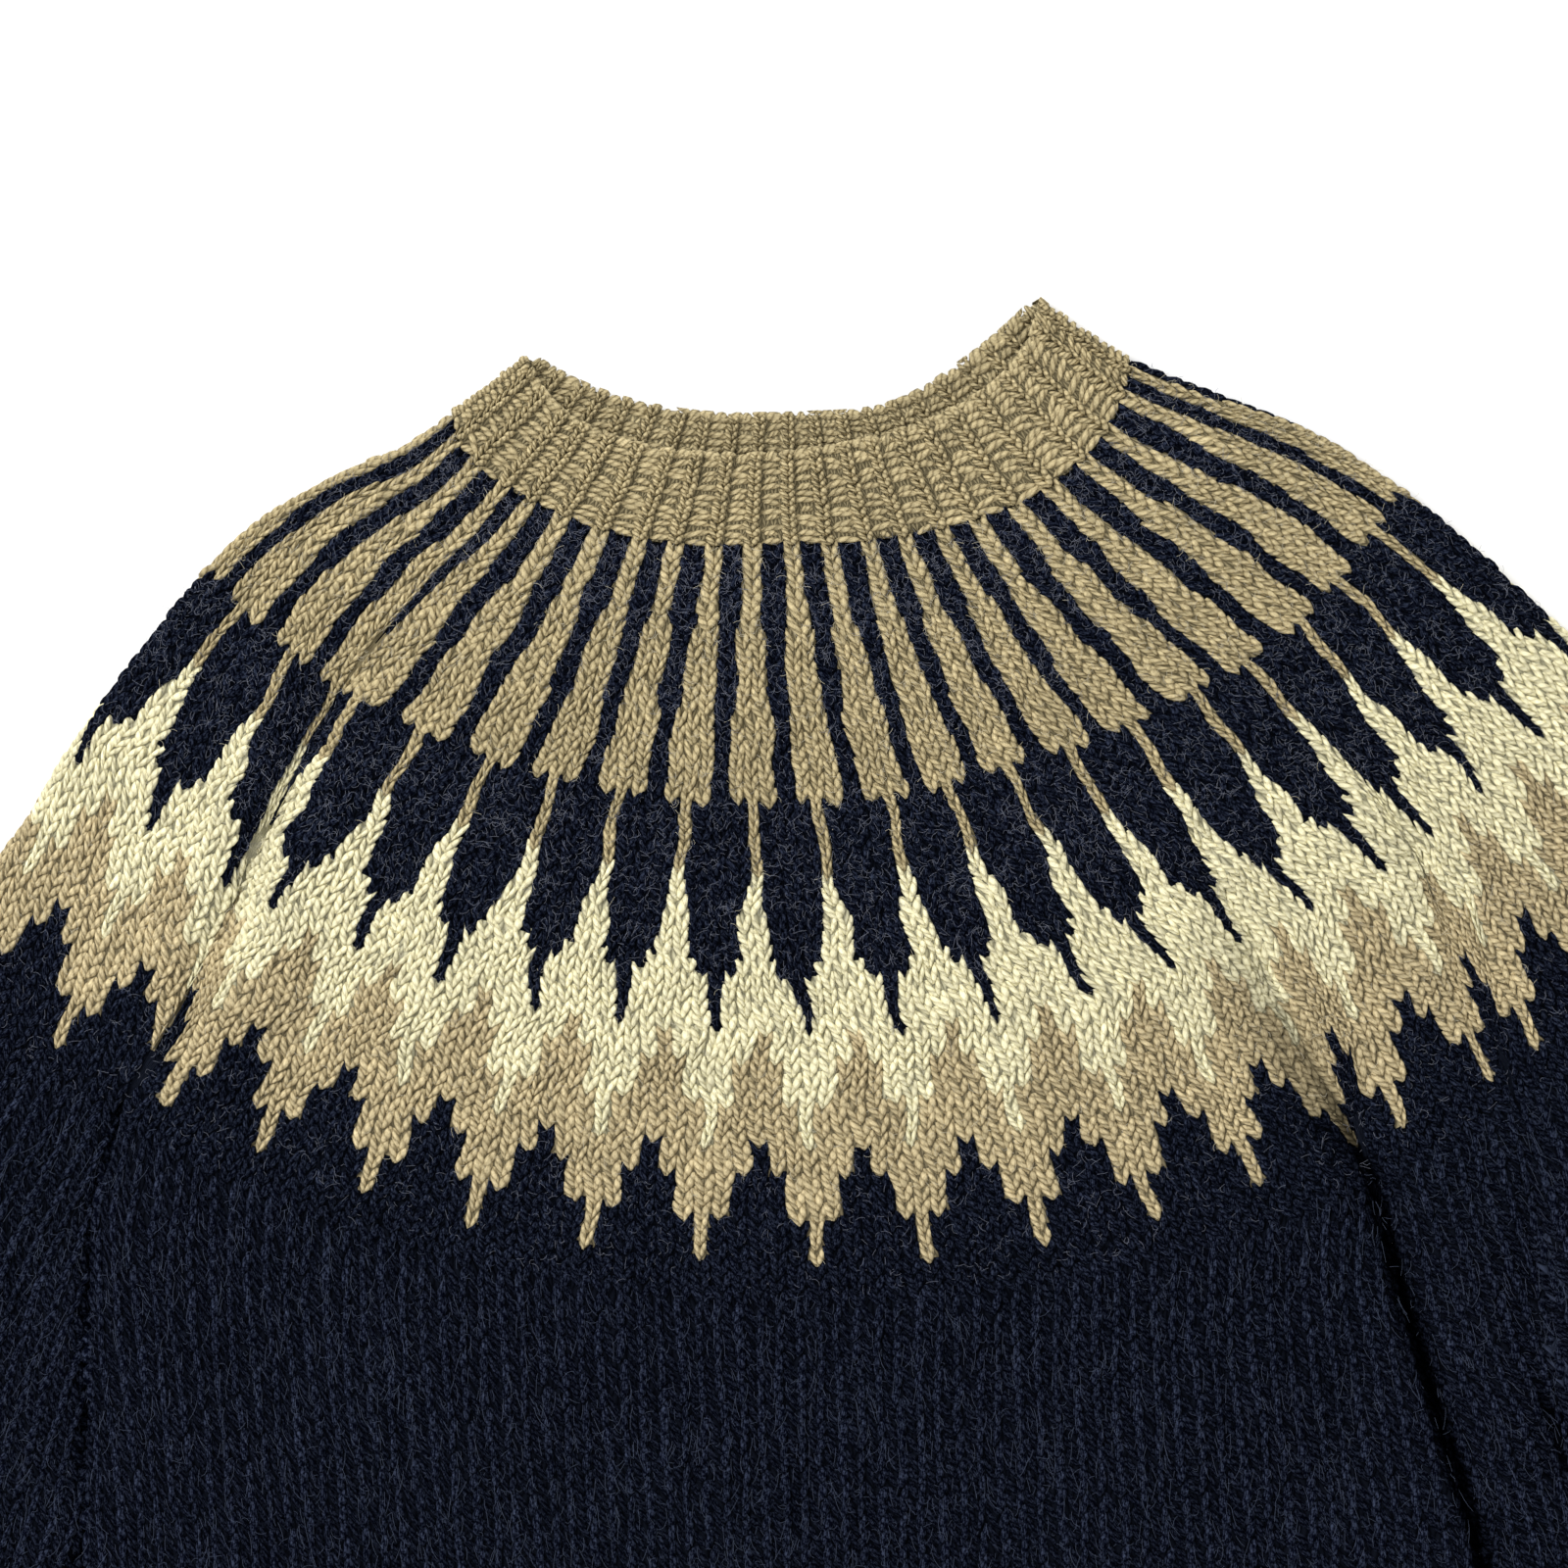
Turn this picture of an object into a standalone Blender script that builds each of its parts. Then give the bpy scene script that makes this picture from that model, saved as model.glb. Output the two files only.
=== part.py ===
"""Round-yoke wool sweater, laid flat with its front up.

Every piece is a knitted tube pressed flat: a wall of cloth with its underside on z = 0, its two layers
lying on each other and a rounded fold at each side. Sizes are in millimetres and become metres on output.
"""

import math

import bpy

# Driving sizes of the knitting, in millimetres
LAYER_HEIGHT = 9.5
WALL = 3.0
SEAM_GAP = 0.3
NECK_SEAM_GAP = 0.5
NECKBAND_DEPTH = 33.0
SIDE_GAP = 1.4
RIB_RISE = 1.5
LOWEST_FOLD = -3.0
NECK_RADIUS = 226.6
YOKE_DEPTH = 263.0
BACK_NECK_RISE = 15.0
BODY_HALF_WIDTH = 243.0
BODY_END_Y = -404.0
HEM_DEPTH = 60.0
HEM_HALF_WIDTH = 232.0
CUFF_DEPTH = 72.0
CUFF_WIDTH = 88.0
MM = 0.001

# The yoke's top round: how far it leaves the neck radius at each shoulder
COLLAR = {"left_rise": 6.0, "left_by": 0.5, "left_corner": 13.6, "right_corner": 28.6}
YOKE_TOP_RADIUS = {"left": 219.0, "right": 198.0}
YOKE_DIP = {"depth": 5.4, "by": 0.35, "until": 0.7}

# The neckband's cast-off edge: radii of its front and back, its slope from left to right, its corners, and
# how far the back sags right of the middle
NECK_TOP = {"front": 193.5, "back": 179.5, "slope": 12.5, "left": -31.5, "right": 31.0}
NECK_CORNER = {"front": 19.6, "back": 5.6, "rounding": 1.6, "rounding_from": 0.95}
BACK_SAG = {"depth": 4.2, "at": 0.32, "wide": 0.26}

# How far the body's sides bulge past straight lines, from the first place to the last
BODY_BULGE = {
    "right": {"out": 25.0, "first": 0.03, "by": 0.37},
    "left": {"out": 9.0, "first": 0.0, "by": 0.09},
}
SLEEVE_STRAIGHT_BY = 0.55
HEM_EASE = 1.4
CUFF_EASE = 2.2

# Fractions across the yoke, with a step, where its folds need closer points
YOKE_CLOSER = ((-1.0, 0.03), (-0.738, 0.022), (-0.575, 0.032), (0.482, 0.021), (0.665, 0.028), (1.0, 0.03))
NECK_RIBS = 21
HEM_RIBS = 35
CUFF_RIBS = 8

# The point from which the rounds of the yoke are struck, and the middle of the whole garment's box
ROUND_CENTRE = (5.9, 413.8)
BOX_CENTRE = (-28.1, -95.1)

# Shoulder folds, as bearings from the round centre at each radius
SHOULDER_FOLDS = (
    {"radius": 198.0, "left": -33.0, "right": 35.8},
    {"radius": 236.0, "left": -36.1, "right": 41.1},
    {"radius": 262.0, "left": -39.5, "right": 43.8},
    {"radius": 300.0, "left": -41.8, "right": 45.6},
    {"radius": 350.0, "left": -41.6, "right": 46.2},
    {"radius": 395.0, "left": -41.0, "right": 46.2},
    {"radius": 433.0, "left": -40.2, "right": 45.6},
    {"radius": 490.0, "left": -40.0, "right": 44.3},
)
UNDERARM_LEFT = -29.5
UNDERARM_RIGHT = 24.6

# Edges of each sleeve from the yoke to the cuff: the edge beside the body, then the outer edge
LEFT_SLEEVE = (
    {"along": 0.00, "inner_x": -236.5, "inner_y": -11.5, "outer_x": -308.9, "outer_y": 38.6},
    {"along": 0.12, "inner_x": -246.2, "inner_y": -56.0, "outer_x": -349.0, "outer_y": -14.0},
    {"along": 0.30, "inner_x": -248.2, "inner_y": -128.0, "outer_x": -400.0, "outer_y": -92.0},
    {"along": 0.41, "inner_x": -250.2, "inner_y": -170.0, "outer_x": -417.0, "outer_y": -126.0},
    {"along": 0.55, "inner_x": -271.0, "inner_y": -220.0, "outer_x": -437.0, "outer_y": -169.0},
    {"along": 0.75, "inner_x": -323.0, "inner_y": -286.0, "outer_x": -458.0, "outer_y": -232.0},
    {"along": 1.00, "inner_x": -379.0, "inner_y": -357.0, "outer_x": -478.0, "outer_y": -308.0},
)
RIGHT_SLEEVE = (
    {"along": 0.00, "inner_x": 211.0, "inner_y": -30.5, "outer_x": 347.9, "outer_y": 63.3},
    {"along": 0.06, "inner_x": 213.4, "inner_y": -53.0, "outer_x": 365.0, "outer_y": 29.0},
    {"along": 0.14, "inner_x": 219.9, "inner_y": -83.0, "outer_x": 384.0, "outer_y": -20.0},
    {"along": 0.30, "inner_x": 240.9, "inner_y": -147.0, "outer_x": 411.0, "outer_y": -95.0},
    {"along": 0.40, "inner_x": 249.9, "inner_y": -184.0, "outer_x": 421.0, "outer_y": -135.0},
    {"along": 0.52, "inner_x": 260.0, "inner_y": -226.0, "outer_x": 431.0, "outer_y": -180.0},
    {"along": 0.75, "inner_x": 292.0, "inner_y": -307.0, "outer_x": 442.0, "outer_y": -268.0},
    {"along": 1.00, "inner_x": 330.0, "inner_y": -391.0, "outer_x": 434.0, "outer_y": -362.0},
)

# Folds of the top layer. Each is a trough from (x0, y0) to (x1, y1) with a soft ridge on either side.
FOLDS = (
    {"x0": 143, "y0": 84, "x1": 206, "y1": -36, "drop": 2.6, "left": 4.6, "right": 3.2, "wide": 8},
    {"x0": 218, "y0": 96, "x1": 247, "y1": -4, "drop": 2, "left": 1.8, "right": 2.6, "wide": 9},
    {"x0": -156, "y0": 142, "x1": -210, "y1": 30, "drop": 2.6, "left": 3.6, "right": 2.4, "wide": 8},
    {"x0": -143, "y0": 66, "x1": -180, "y1": -24, "drop": 1.4, "left": 1.8, "right": 2.2, "wide": 13},
    {"x0": 259, "y0": -42, "x1": 277, "y1": -152, "drop": 2.2, "left": 2.6, "right": 3, "wide": 9},
    {"x0": -262, "y0": -52, "x1": -300, "y1": -176, "drop": 1.8, "left": 3, "right": 1.6, "wide": 13},
    {"x0": -196, "y0": -62, "x1": -150, "y1": -236, "drop": 1, "left": 2.4, "right": 1.2, "wide": 24},
    {"x0": 192, "y0": -120, "x1": 128, "y1": -300, "drop": 1.2, "left": 1.4, "right": 2.8, "wide": 26},
    {"x0": -96, "y0": -262, "x1": 52, "y1": -318, "drop": 0.9, "left": 1.4, "right": 1.8, "wide": 30},
    {"x0": -330, "y0": -188, "x1": -404, "y1": -214, "drop": 1.8, "left": 2.2, "right": 2.6, "wide": 14},
    {"x0": -352, "y0": -250, "x1": -438, "y1": -262, "drop": 1.4, "left": 2.4, "right": 1.4, "wide": 15},
    {"x0": 296, "y0": -214, "x1": 398, "y1": -232, "drop": 1.8, "left": 2.4, "right": 2, "wide": 15},
    {"x0": 322, "y0": -300, "x1": 410, "y1": -304, "drop": 1.4, "left": 1.6, "right": 2.4, "wide": 14},
)
RIDGE_OFFSET = 1.9
RIDGE_WIDTH = 1.25
RIDGE_SHARE = 0.3
FOLD_EASE = 0.22
SWELL = {"height": 1.1, "across": 118.0, "along": 146.0, "slant": 0.35}

# Colours and finish of the yarn, linear RGB
FINISH = {
    "tan_wool": {"colour": (0.45, 0.34, 0.17, 1.0), "roughness": 0.95},
    "navy_wool": {"colour": (0.010, 0.013, 0.032, 1.0), "roughness": 0.95},
    "yoke_wool": {"colour": (0.30, 0.25, 0.16, 1.0), "roughness": 0.95},
}


def lerp(a, b, f):
    return a + (b - a) * f


def smooth(f):
    f = min(1.0, max(0.0, f))
    return f * f * (3.0 - 2.0 * f)


def spaced(count):
    """count evenly spaced values from 0 to 1."""
    return [k / (count - 1) for k in range(count)]


def column(table, key, at, by):
    """The named column of a table at a place along it, on a smooth curve through its rows."""
    places = [row[by] for row in table]
    values = [row[key] for row in table]
    last = len(table) - 1
    k = max(0, min(last - 1, sum(at >= place for place in places) - 1))
    span = places[k + 1] - places[k]
    f = min(1.0, max(0.0, (at - places[k]) / span))

    def slope(i):
        if i == 0:
            return (values[1] - values[0]) / (places[1] - places[0])
        if i == last:
            return (values[last] - values[last - 1]) / (places[last] - places[last - 1])
        return (values[i + 1] - values[i - 1]) / (places[i + 1] - places[i - 1])

    a, b = slope(k) * span, slope(k + 1) * span
    rise = values[k + 1] - values[k]
    return values[k] + a * f + (3.0 * rise - 2.0 * a - b) * f**2 + (a + b - 2.0 * rise) * f**3


def relief(x, y):
    """Height of the top layer's folds and soft swells above the flat cloth."""
    waves = math.sin(x / SWELL["across"] * math.pi + y * SWELL["slant"] / SWELL["along"])
    height = SWELL["height"] * waves * math.cos(y / SWELL["along"] * math.pi)
    for fold in FOLDS:
        dx, dy = fold["x1"] - fold["x0"], fold["y1"] - fold["y0"]
        length = math.hypot(dx, dy)
        along = ((x - fold["x0"]) * dx + (y - fold["y0"]) * dy) / length
        side = ((x - fold["x0"]) * dy - (y - fold["y0"]) * dx) / length
        ease = FOLD_EASE * length
        fade = smooth((along + ease) / (2.0 * ease)) * smooth((length + ease - along) / (2.0 * ease))
        if fade <= 0.0:
            continue
        wide = fold["wide"]
        ridge = fold["right"] if side < 0 else fold["left"]
        trough = -(fold["drop"] + RIDGE_SHARE * ridge) * math.exp(-((side / wide) ** 2))
        hump = ridge * math.exp(-(((abs(side) - RIDGE_OFFSET * wide) / (RIDGE_WIDTH * wide)) ** 2))
        height += fade * (trough + hump)
    return max(LOWEST_FOLD, height)


def edge_profile(steps):
    """Cosine and sine of the points round a side fold, between its top and its underside."""
    return [(math.cos(a), math.sin(a)) for a in (math.pi * (0.5 - k / steps) for k in range(1, steps))]


EDGE = edge_profile(6)
NEAR_EDGE = 0.02


def inset(place, t, distance):
    """The fraction across a round that lies a distance inside the nearer fold."""
    end = 1.0 if t > 0 else -1.0
    per_unit = math.dist(place(end * (1.0 - NEAR_EDGE)), place(end)) / NEAR_EDGE
    return end * (1.0 - distance / max(per_unit, 1e-6))


def flat_ring(front, back, across, ribs=None, under=10, thick=LAYER_HEIGHT):
    """One round of a flattened tube, as its outer and inner loops.

    front and back give the plan place of a fraction from -1, the left fold, to 1, the right fold.
    across lists the fractions of the top layer's points, and ribs says how far each is raised.
    """
    half = thick / 2.0
    loops = []
    for wall in (0.0, WALL):
        radius = half - wall
        raised = ribs if ribs and wall == 0.0 else [0.0] * len(across)
        left, right = inset(front, -1.0, half), inset(front, 1.0, half)
        loop = []
        for t, rise in zip(across, raised):
            x, y = front(lerp(left, right, (t + 1.0) / 2.0))
            loop.append((x, y, half + radius + relief(x, y) + rise))
        top = loop[-1][2]
        loop += fold_points(front, back, 1.0, half, wall, top, EDGE)
        left_back, right_back = inset(back, -1.0, half), inset(back, 1.0, half)
        for k in range(under):
            x, y = back(lerp(right_back, left_back, k / (under - 1)))
            loop.append((x, y, wall))
        top = loop[0][2]
        loop += fold_points(front, back, -1.0, half, wall, top, EDGE[::-1])
        loops.append(loop)
    return loops


def fold_points(front, back, end, half, wall, top, profile):
    """Points round one side fold, from the top layer's height down to the underside."""
    radius = half - wall
    points = []
    for out, up in profile:
        depth = half - radius * out
        a, b = front(inset(front, end, depth)), back(inset(back, end, depth))
        x, y = lerp(b[0], a[0], (up + 1.0) / 2.0), lerp(b[1], a[1], (up + 1.0) / 2.0)
        lift = max(0.0, up) * (top - (half + radius))
        points.append((x, y, half + radius * up + lift))
    return points


def tube(name, rings, finish):
    """One closed wall of cloth through its rounds, open at both ends."""
    count = len(rings[0][0])
    verts = []
    for outer, inner in rings:
        verts += outer + inner
    verts = [((x - BOX_CENTRE[0]) * MM, (y - BOX_CENTRE[1]) * MM, z * MM) for x, y, z in verts]
    faces = []
    step = 2 * count
    for ring in range(len(rings) - 1):
        a, b = ring * step, (ring + 1) * step
        for j in range(count):
            k = (j + 1) % count
            faces.append((a + j, b + j, b + k, a + k))
            faces.append((a + count + k, b + count + k, b + count + j, a + count + j))
    last = (len(rings) - 1) * step
    for j in range(count):
        k = (j + 1) % count
        faces.append((j, k, count + k, count + j))
        faces.append((last + k, last + j, last + count + j, last + count + k))
    mesh = bpy.data.meshes.new(name)
    mesh.from_pydata(verts, [], faces)
    mesh.validate()
    mesh.shade_smooth()
    mesh.set_sharp_from_angle(angle=math.radians(40))
    piece = bpy.data.objects.new(name, mesh)
    piece.data.materials.append(material(finish))
    bpy.context.collection.objects.link(piece)
    return piece


def material(name):
    """A Principled material in the yarn's colour, made once."""
    found = bpy.data.materials.get(name)
    if found:
        return found
    made = bpy.data.materials.new(name)
    made.use_nodes = True
    shader = made.node_tree.nodes["Principled BSDF"]
    shader.inputs["Base Color"].default_value = FINISH[name]["colour"]
    shader.inputs["Roughness"].default_value = FINISH[name]["roughness"]
    shader.inputs["Metallic"].default_value = 0.0
    return made


def polar(bearing, radius):
    """A plan place from its bearing in degrees and its distance from the round centre."""
    a = math.radians(bearing)
    return (ROUND_CENTRE[0] + radius * math.sin(a), ROUND_CENTRE[1] - radius * math.cos(a))


def rib_columns(count, rise=RIB_RISE):
    """Fractions across the top layer and their rise, four points to a rib, plain at both folds."""
    across, raised = [-1.0], [0.0]
    for k in range(count):
        for place, up in ((0.12, 0.0), (0.32, 1.0), (0.68, 1.0), (0.88, 0.0)):
            across.append(-1.0 + 2.0 * (k + place) / count)
            raised.append(up * rise)
    return across + [1.0], raised + [0.0]


def plain_columns(count, closer=()):
    """Evenly spaced fractions across the top layer, with more of them at each (middle, step) of a fold."""
    across = {round(-1.0 + 2.0 * f, 4) for f in spaced(count)}
    for middle, step in closer:
        near = [round(middle + step * k, 4) for k in (-2, -1, 0, 1, 2)]
        across = {t for t in across if abs(t - middle) > 2.6 * step or abs(t) == 1.0}
        across.update(t for t in near if abs(t) < 1.0)
    return sorted(across)


def collar_front(t):
    """Radius of the round where the front of the yoke meets the neckband."""
    if t < 0:
        rise = COLLAR["left_rise"] * smooth(-t / COLLAR["left_by"])
        return NECK_RADIUS + rise - COLLAR["left_corner"] * (-t) ** 12
    return NECK_RADIUS - COLLAR["right_corner"] * t**5


def collar_back(t):
    return collar_front(t) - BACK_NECK_RISE * (1.0 - t * t) ** 0.8


def yoke_round(s, collar):
    """The plan curve of one round of the yoke, s = 0 at the neckband and 1 at the underarms."""

    def place(t):
        outer = NECK_RADIUS + YOKE_DEPTH
        dip = YOKE_DIP["depth"] * math.sin(math.pi * min(1.0, s / YOKE_DIP["until"]))
        radius = lerp(collar(t), outer, s) - dip * smooth(t / YOKE_DIP["by"])
        left = column(SHOULDER_FOLDS, "left", lerp(YOKE_TOP_RADIUS["left"], outer, s), "radius")
        right = column(SHOULDER_FOLDS, "right", lerp(YOKE_TOP_RADIUS["right"], outer, s), "radius")
        return polar(lerp(left, right, (t + 1.0) / 2.0), radius)

    return place


def neck_round(q, front):
    """The plan curve of one round of the neckband, q = 0 at the yoke and 1 at the cast-off edge."""

    def place(t):
        if front:
            top = NECK_TOP["front"] - NECK_CORNER["front"] * abs(t) ** 6
            start = collar_front(t)
        else:
            sag = BACK_SAG["depth"] * math.exp(-(((t - BACK_SAG["at"]) / BACK_SAG["wide"]) ** 2))
            top = NECK_TOP["back"] + sag - NECK_CORNER["back"] * t**4
            start = collar_back(t)
        first = NECK_CORNER["rounding_from"]
        top += NECK_CORNER["rounding"] * smooth((abs(t) - first) / (1.0 - first)) - NECK_TOP["slope"] * t
        q_in = lerp(NECK_SEAM_GAP / NECKBAND_DEPTH, 1.0, q)
        left, right = [
            lerp(column(SHOULDER_FOLDS, side, YOKE_TOP_RADIUS[side], "radius"), NECK_TOP[side], q_in)
            for side in ("left", "right")
        ]
        return polar(lerp(left, right, (t + 1.0) / 2.0), lerp(start, top, q_in))

    return place


def body_side(side, s):
    """How far the body's side fold bulges past the straight line from underarm to hem."""
    bulge = BODY_BULGE[side]
    rest = 1.0 - smooth((s - 0.5) / 0.5)
    return bulge["out"] * smooth((s - bulge["first"]) / bulge["by"]) * rest


def body_round(s):
    """The plan curve of one round of the body, s = 0 at the yoke and 1 at the hem rib."""
    seam = NECK_RADIUS + YOKE_DEPTH + SEAM_GAP

    def place(t):
        f = (t + 1.0) / 2.0
        arc = polar(lerp(UNDERARM_LEFT, UNDERARM_RIGHT, f), seam)
        low = (lerp(-BODY_HALF_WIDTH, BODY_HALF_WIDTH, f), BODY_END_Y)
        bulge = body_side("right", s) * max(0.0, t) ** 2 - body_side("left", s) * max(0.0, -t) ** 2
        down = lerp(s, s**0.85, 0.35)
        return (lerp(arc[0], low[0], s) + bulge, lerp(arc[1], low[1], down))

    return place


def hem_round(s):
    def place(t):
        half = lerp(BODY_HALF_WIDTH, HEM_HALF_WIDTH, smooth(s * HEM_EASE))
        return (half * t, BODY_END_Y - SEAM_GAP - s * HEM_DEPTH)

    return place


def sleeve_round(table, s, bearings):
    """The plan curve of one round of a sleeve, from its left fold to its right fold."""
    seam = NECK_RADIUS + YOKE_DEPTH + SEAM_GAP
    inner, outer = [
        (column(table, f"{edge}_x", s, "along"), column(table, f"{edge}_y", s, "along"))
        for edge in ("inner", "outer")
    ]
    top_inner, top_outer = [
        (table[0][f"{edge}_x"], table[0][f"{edge}_y"]) for edge in ("inner", "outer")
    ]
    left, right = (outer, inner) if outer[0] < inner[0] else (inner, outer)
    top_left, top_right = (
        (top_outer, top_inner) if outer[0] < inner[0] else (top_inner, top_outer)
    )
    fade = 1.0 - smooth(s / SLEEVE_STRAIGHT_BY)

    def place(t):
        f = (t + 1.0) / 2.0
        arc = polar(lerp(bearings[0], bearings[1], f), seam)
        x = lerp(left[0], right[0], f) + fade * (arc[0] - lerp(top_left[0], top_right[0], f))
        y = lerp(left[1], right[1], f) + fade * (arc[1] - lerp(top_left[1], top_right[1], f))
        return (x, y)

    return place


def cuff_round(table, s):
    """The plan curve of one round of a cuff, drawn in to the cuff's width."""
    end = table[-1]
    inner, outer = (end["inner_x"], end["inner_y"]), (end["outer_x"], end["outer_y"])
    left, right = (outer, inner) if outer[0] < inner[0] else (inner, outer)
    width = math.dist(left, right)
    run = ((right[0] - left[0]) / width, (right[1] - left[1]) / width)
    down = (run[1], -run[0])
    middle = ((left[0] + right[0]) / 2.0, (left[1] + right[1]) / 2.0)
    half = lerp(width, CUFF_WIDTH, smooth(s * CUFF_EASE)) / 2.0
    away = SEAM_GAP + s * CUFF_DEPTH

    def place(t):
        return (
            middle[0] + run[0] * half * t + down[0] * away,
            middle[1] + run[1] * half * t + down[1] * away,
        )

    return place


def make_neckband():
    across, raised = rib_columns(NECK_RIBS)
    rings = []
    for q in spaced(4):
        front, back = neck_round(q, True), neck_round(q, False)
        rings.append(flat_ring(front, back, across, raised, under=20))
    tube("neckband", rings[::-1], "tan_wool")


def make_yoke():
    across = plain_columns(23, YOKE_CLOSER)
    rings = []
    for s in spaced(12):
        rings.append(flat_ring(yoke_round(s, collar_front), yoke_round(s, collar_back), across, under=20))
    tube("yoke", rings, "yoke_wool")


def make_body():
    across = plain_columns(23)
    rings = []
    for s in spaced(12):
        place = body_round(s)
        rings.append(flat_ring(place, place, across, under=18))
    tube("body", rings, "navy_wool")


def make_sleeve(name, table, bearings):
    across = plain_columns(12)
    rings = []
    for s in spaced(13):
        place = sleeve_round(table, s, bearings)
        rings.append(flat_ring(place, place, across, under=8))
    tube(name, rings, "navy_wool")


def make_hem():
    across, raised = rib_columns(HEM_RIBS)
    rings = []
    for s in spaced(3):
        place = hem_round(s)
        rings.append(flat_ring(place, place, across, raised))
    tube("hem_rib", rings, "navy_wool")


def make_cuff(name, table):
    across, raised = rib_columns(CUFF_RIBS)
    rings = []
    for s in spaced(4):
        place = cuff_round(table, s)
        rings.append(flat_ring(place, place, across, raised, under=6))
    tube(name, rings, "navy_wool")


def main():
    for old in list(bpy.data.objects):
        bpy.data.objects.remove(old, do_unlink=True)
    beside = math.degrees(SIDE_GAP / (NECK_RADIUS + YOKE_DEPTH))
    make_neckband()
    make_yoke()
    make_body()
    make_hem()
    make_sleeve("sleeve_left", LEFT_SLEEVE, (SHOULDER_FOLDS[-1]["left"], UNDERARM_LEFT - beside))
    make_sleeve("sleeve_right", RIGHT_SLEEVE, (UNDERARM_RIGHT + beside, SHOULDER_FOLDS[-1]["right"]))
    make_cuff("cuff_left", LEFT_SLEEVE)
    make_cuff("cuff_right", RIGHT_SLEEVE)


main()
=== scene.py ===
import math

import bpy
import numpy as np
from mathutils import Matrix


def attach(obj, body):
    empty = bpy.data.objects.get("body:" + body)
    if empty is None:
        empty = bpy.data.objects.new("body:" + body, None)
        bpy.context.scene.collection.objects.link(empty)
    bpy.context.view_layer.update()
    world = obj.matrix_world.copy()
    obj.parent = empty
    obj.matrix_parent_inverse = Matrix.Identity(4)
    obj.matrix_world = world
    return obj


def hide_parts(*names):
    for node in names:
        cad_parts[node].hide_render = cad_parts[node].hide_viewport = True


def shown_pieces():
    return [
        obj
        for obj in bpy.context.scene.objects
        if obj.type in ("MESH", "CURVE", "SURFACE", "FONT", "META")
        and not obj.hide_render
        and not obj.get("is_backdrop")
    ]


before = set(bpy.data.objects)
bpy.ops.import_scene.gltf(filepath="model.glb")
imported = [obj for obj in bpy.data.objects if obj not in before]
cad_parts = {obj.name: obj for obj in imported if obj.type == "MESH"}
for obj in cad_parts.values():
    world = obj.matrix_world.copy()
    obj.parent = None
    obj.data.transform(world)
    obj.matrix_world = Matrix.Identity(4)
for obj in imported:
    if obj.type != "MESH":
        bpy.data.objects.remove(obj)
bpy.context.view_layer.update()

# Sizes are millimetres in the plan of the laid sweater, y up towards the neck, as in the CAD source
boxCentre = (-28.1, -95.1)
roundCentre = (5.9, 413.8)
layer = {"height": 9.5, "wall": 3.0, "seamGap": 0.3, "sideGap": 1.4, "sink": 0.8, "floorGap": 0.05}

# The round yoke: its radii, rounds and repeats of the chart, the rays that the top layer shows, the one in
# the middle of the back, the mesh cells of a ray and the bump's columns in a cell
yoke = {
    "radius": 226.6,
    "depth": 263.0,
    "rows": 52,
    "repeats": 42,
    "topLeft": 219.0,
    "topRight": 198.0,
    "shown": (-3.0, 25.0),
    "backRay": 31.5,
    "cells": 12,
    "cellColumns": 0.5,
}

rng = np.random.default_rng(42)
half = layer["height"] / 2.0
outerRadius = yoke["radius"] + yoke["depth"]

# The shares of a tube's length where its skin begins and ends, the share of a half width that is measured
# beside a fold, and how far a curve goes on past its table, in rows
pastEnds = (-0.02, 1.03)
nearEdge = 0.02
goOn = 0.25


def smooth(f):
    f = np.clip(f, 0.0, 1.0)
    return f * f * (3.0 - 2.0 * f)


def lerp(a, b, f):
    return a + (b - a) * f


# A smooth curve through a table's rows, carried on a little past its ends
def curveThrough(places, values, at):
    places, values = np.asarray(places, float), np.asarray(values, float)
    k = np.clip(np.searchsorted(places, at, side="right") - 1, 0, len(places) - 2)
    slopes = np.empty_like(values)
    slopes[0] = (values[1] - values[0]) / (places[1] - places[0])
    slopes[-1] = (values[-1] - values[-2]) / (places[-1] - places[-2])
    slopes[1:-1] = (values[2:] - values[:-2]) / (places[2:] - places[:-2])
    span = places[k + 1] - places[k]
    f = np.clip((at - places[k]) / span, -goOn, 1.0 + goOn)
    a, b = slopes[k] * span, slopes[k + 1] * span
    rise = values[k + 1] - values[k]
    return values[k] + a * f + (3.0 * rise - 2.0 * a - b) * f**2 + (a + b - 2.0 * rise) * f**3


# Folds of the top layer: a trough from (x0, y0) to (x1, y1), its ridges and a sharp crease in it
foldKeys = ("x0", "y0", "x1", "y1", "drop", "left", "right", "wide", "sharp")
folds = [
    dict(zip(foldKeys, row))
    for row in (
        (143, 84, 206, -36, 2.6, 4.6, 3.2, 8, 3.4),
        (218, 96, 247, -4, 2.0, 1.8, 2.6, 9, 0.8),
        (-156, 142, -210, 30, 2.6, 3.6, 2.4, 8, 0.4),
        (-143, 66, -180, -24, 1.4, 1.8, 2.2, 13, 0.0),
        (259, -42, 277, -152, 2.2, 2.6, 3.0, 9, 1.6),
        (-262, -52, -300, -176, 1.8, 3.0, 1.6, 13, 0.0),
        (-196, -62, -150, -236, 1.0, 2.4, 1.2, 24, 0.0),
        (192, -120, 128, -300, 1.2, 1.4, 2.8, 26, 0.0),
        (-96, -262, 52, -318, 0.9, 1.4, 1.8, 30, 0.0),
        (-330, -188, -404, -214, 1.8, 2.2, 2.6, 14, 0.0),
        (-352, -250, -438, -262, 1.4, 2.4, 1.4, 15, 0.0),
        (296, -214, 398, -232, 1.8, 2.4, 2.0, 15, 0.0),
        (322, -300, 410, -304, 1.4, 1.6, 2.4, 14, 0.0),
    )
]
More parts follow.
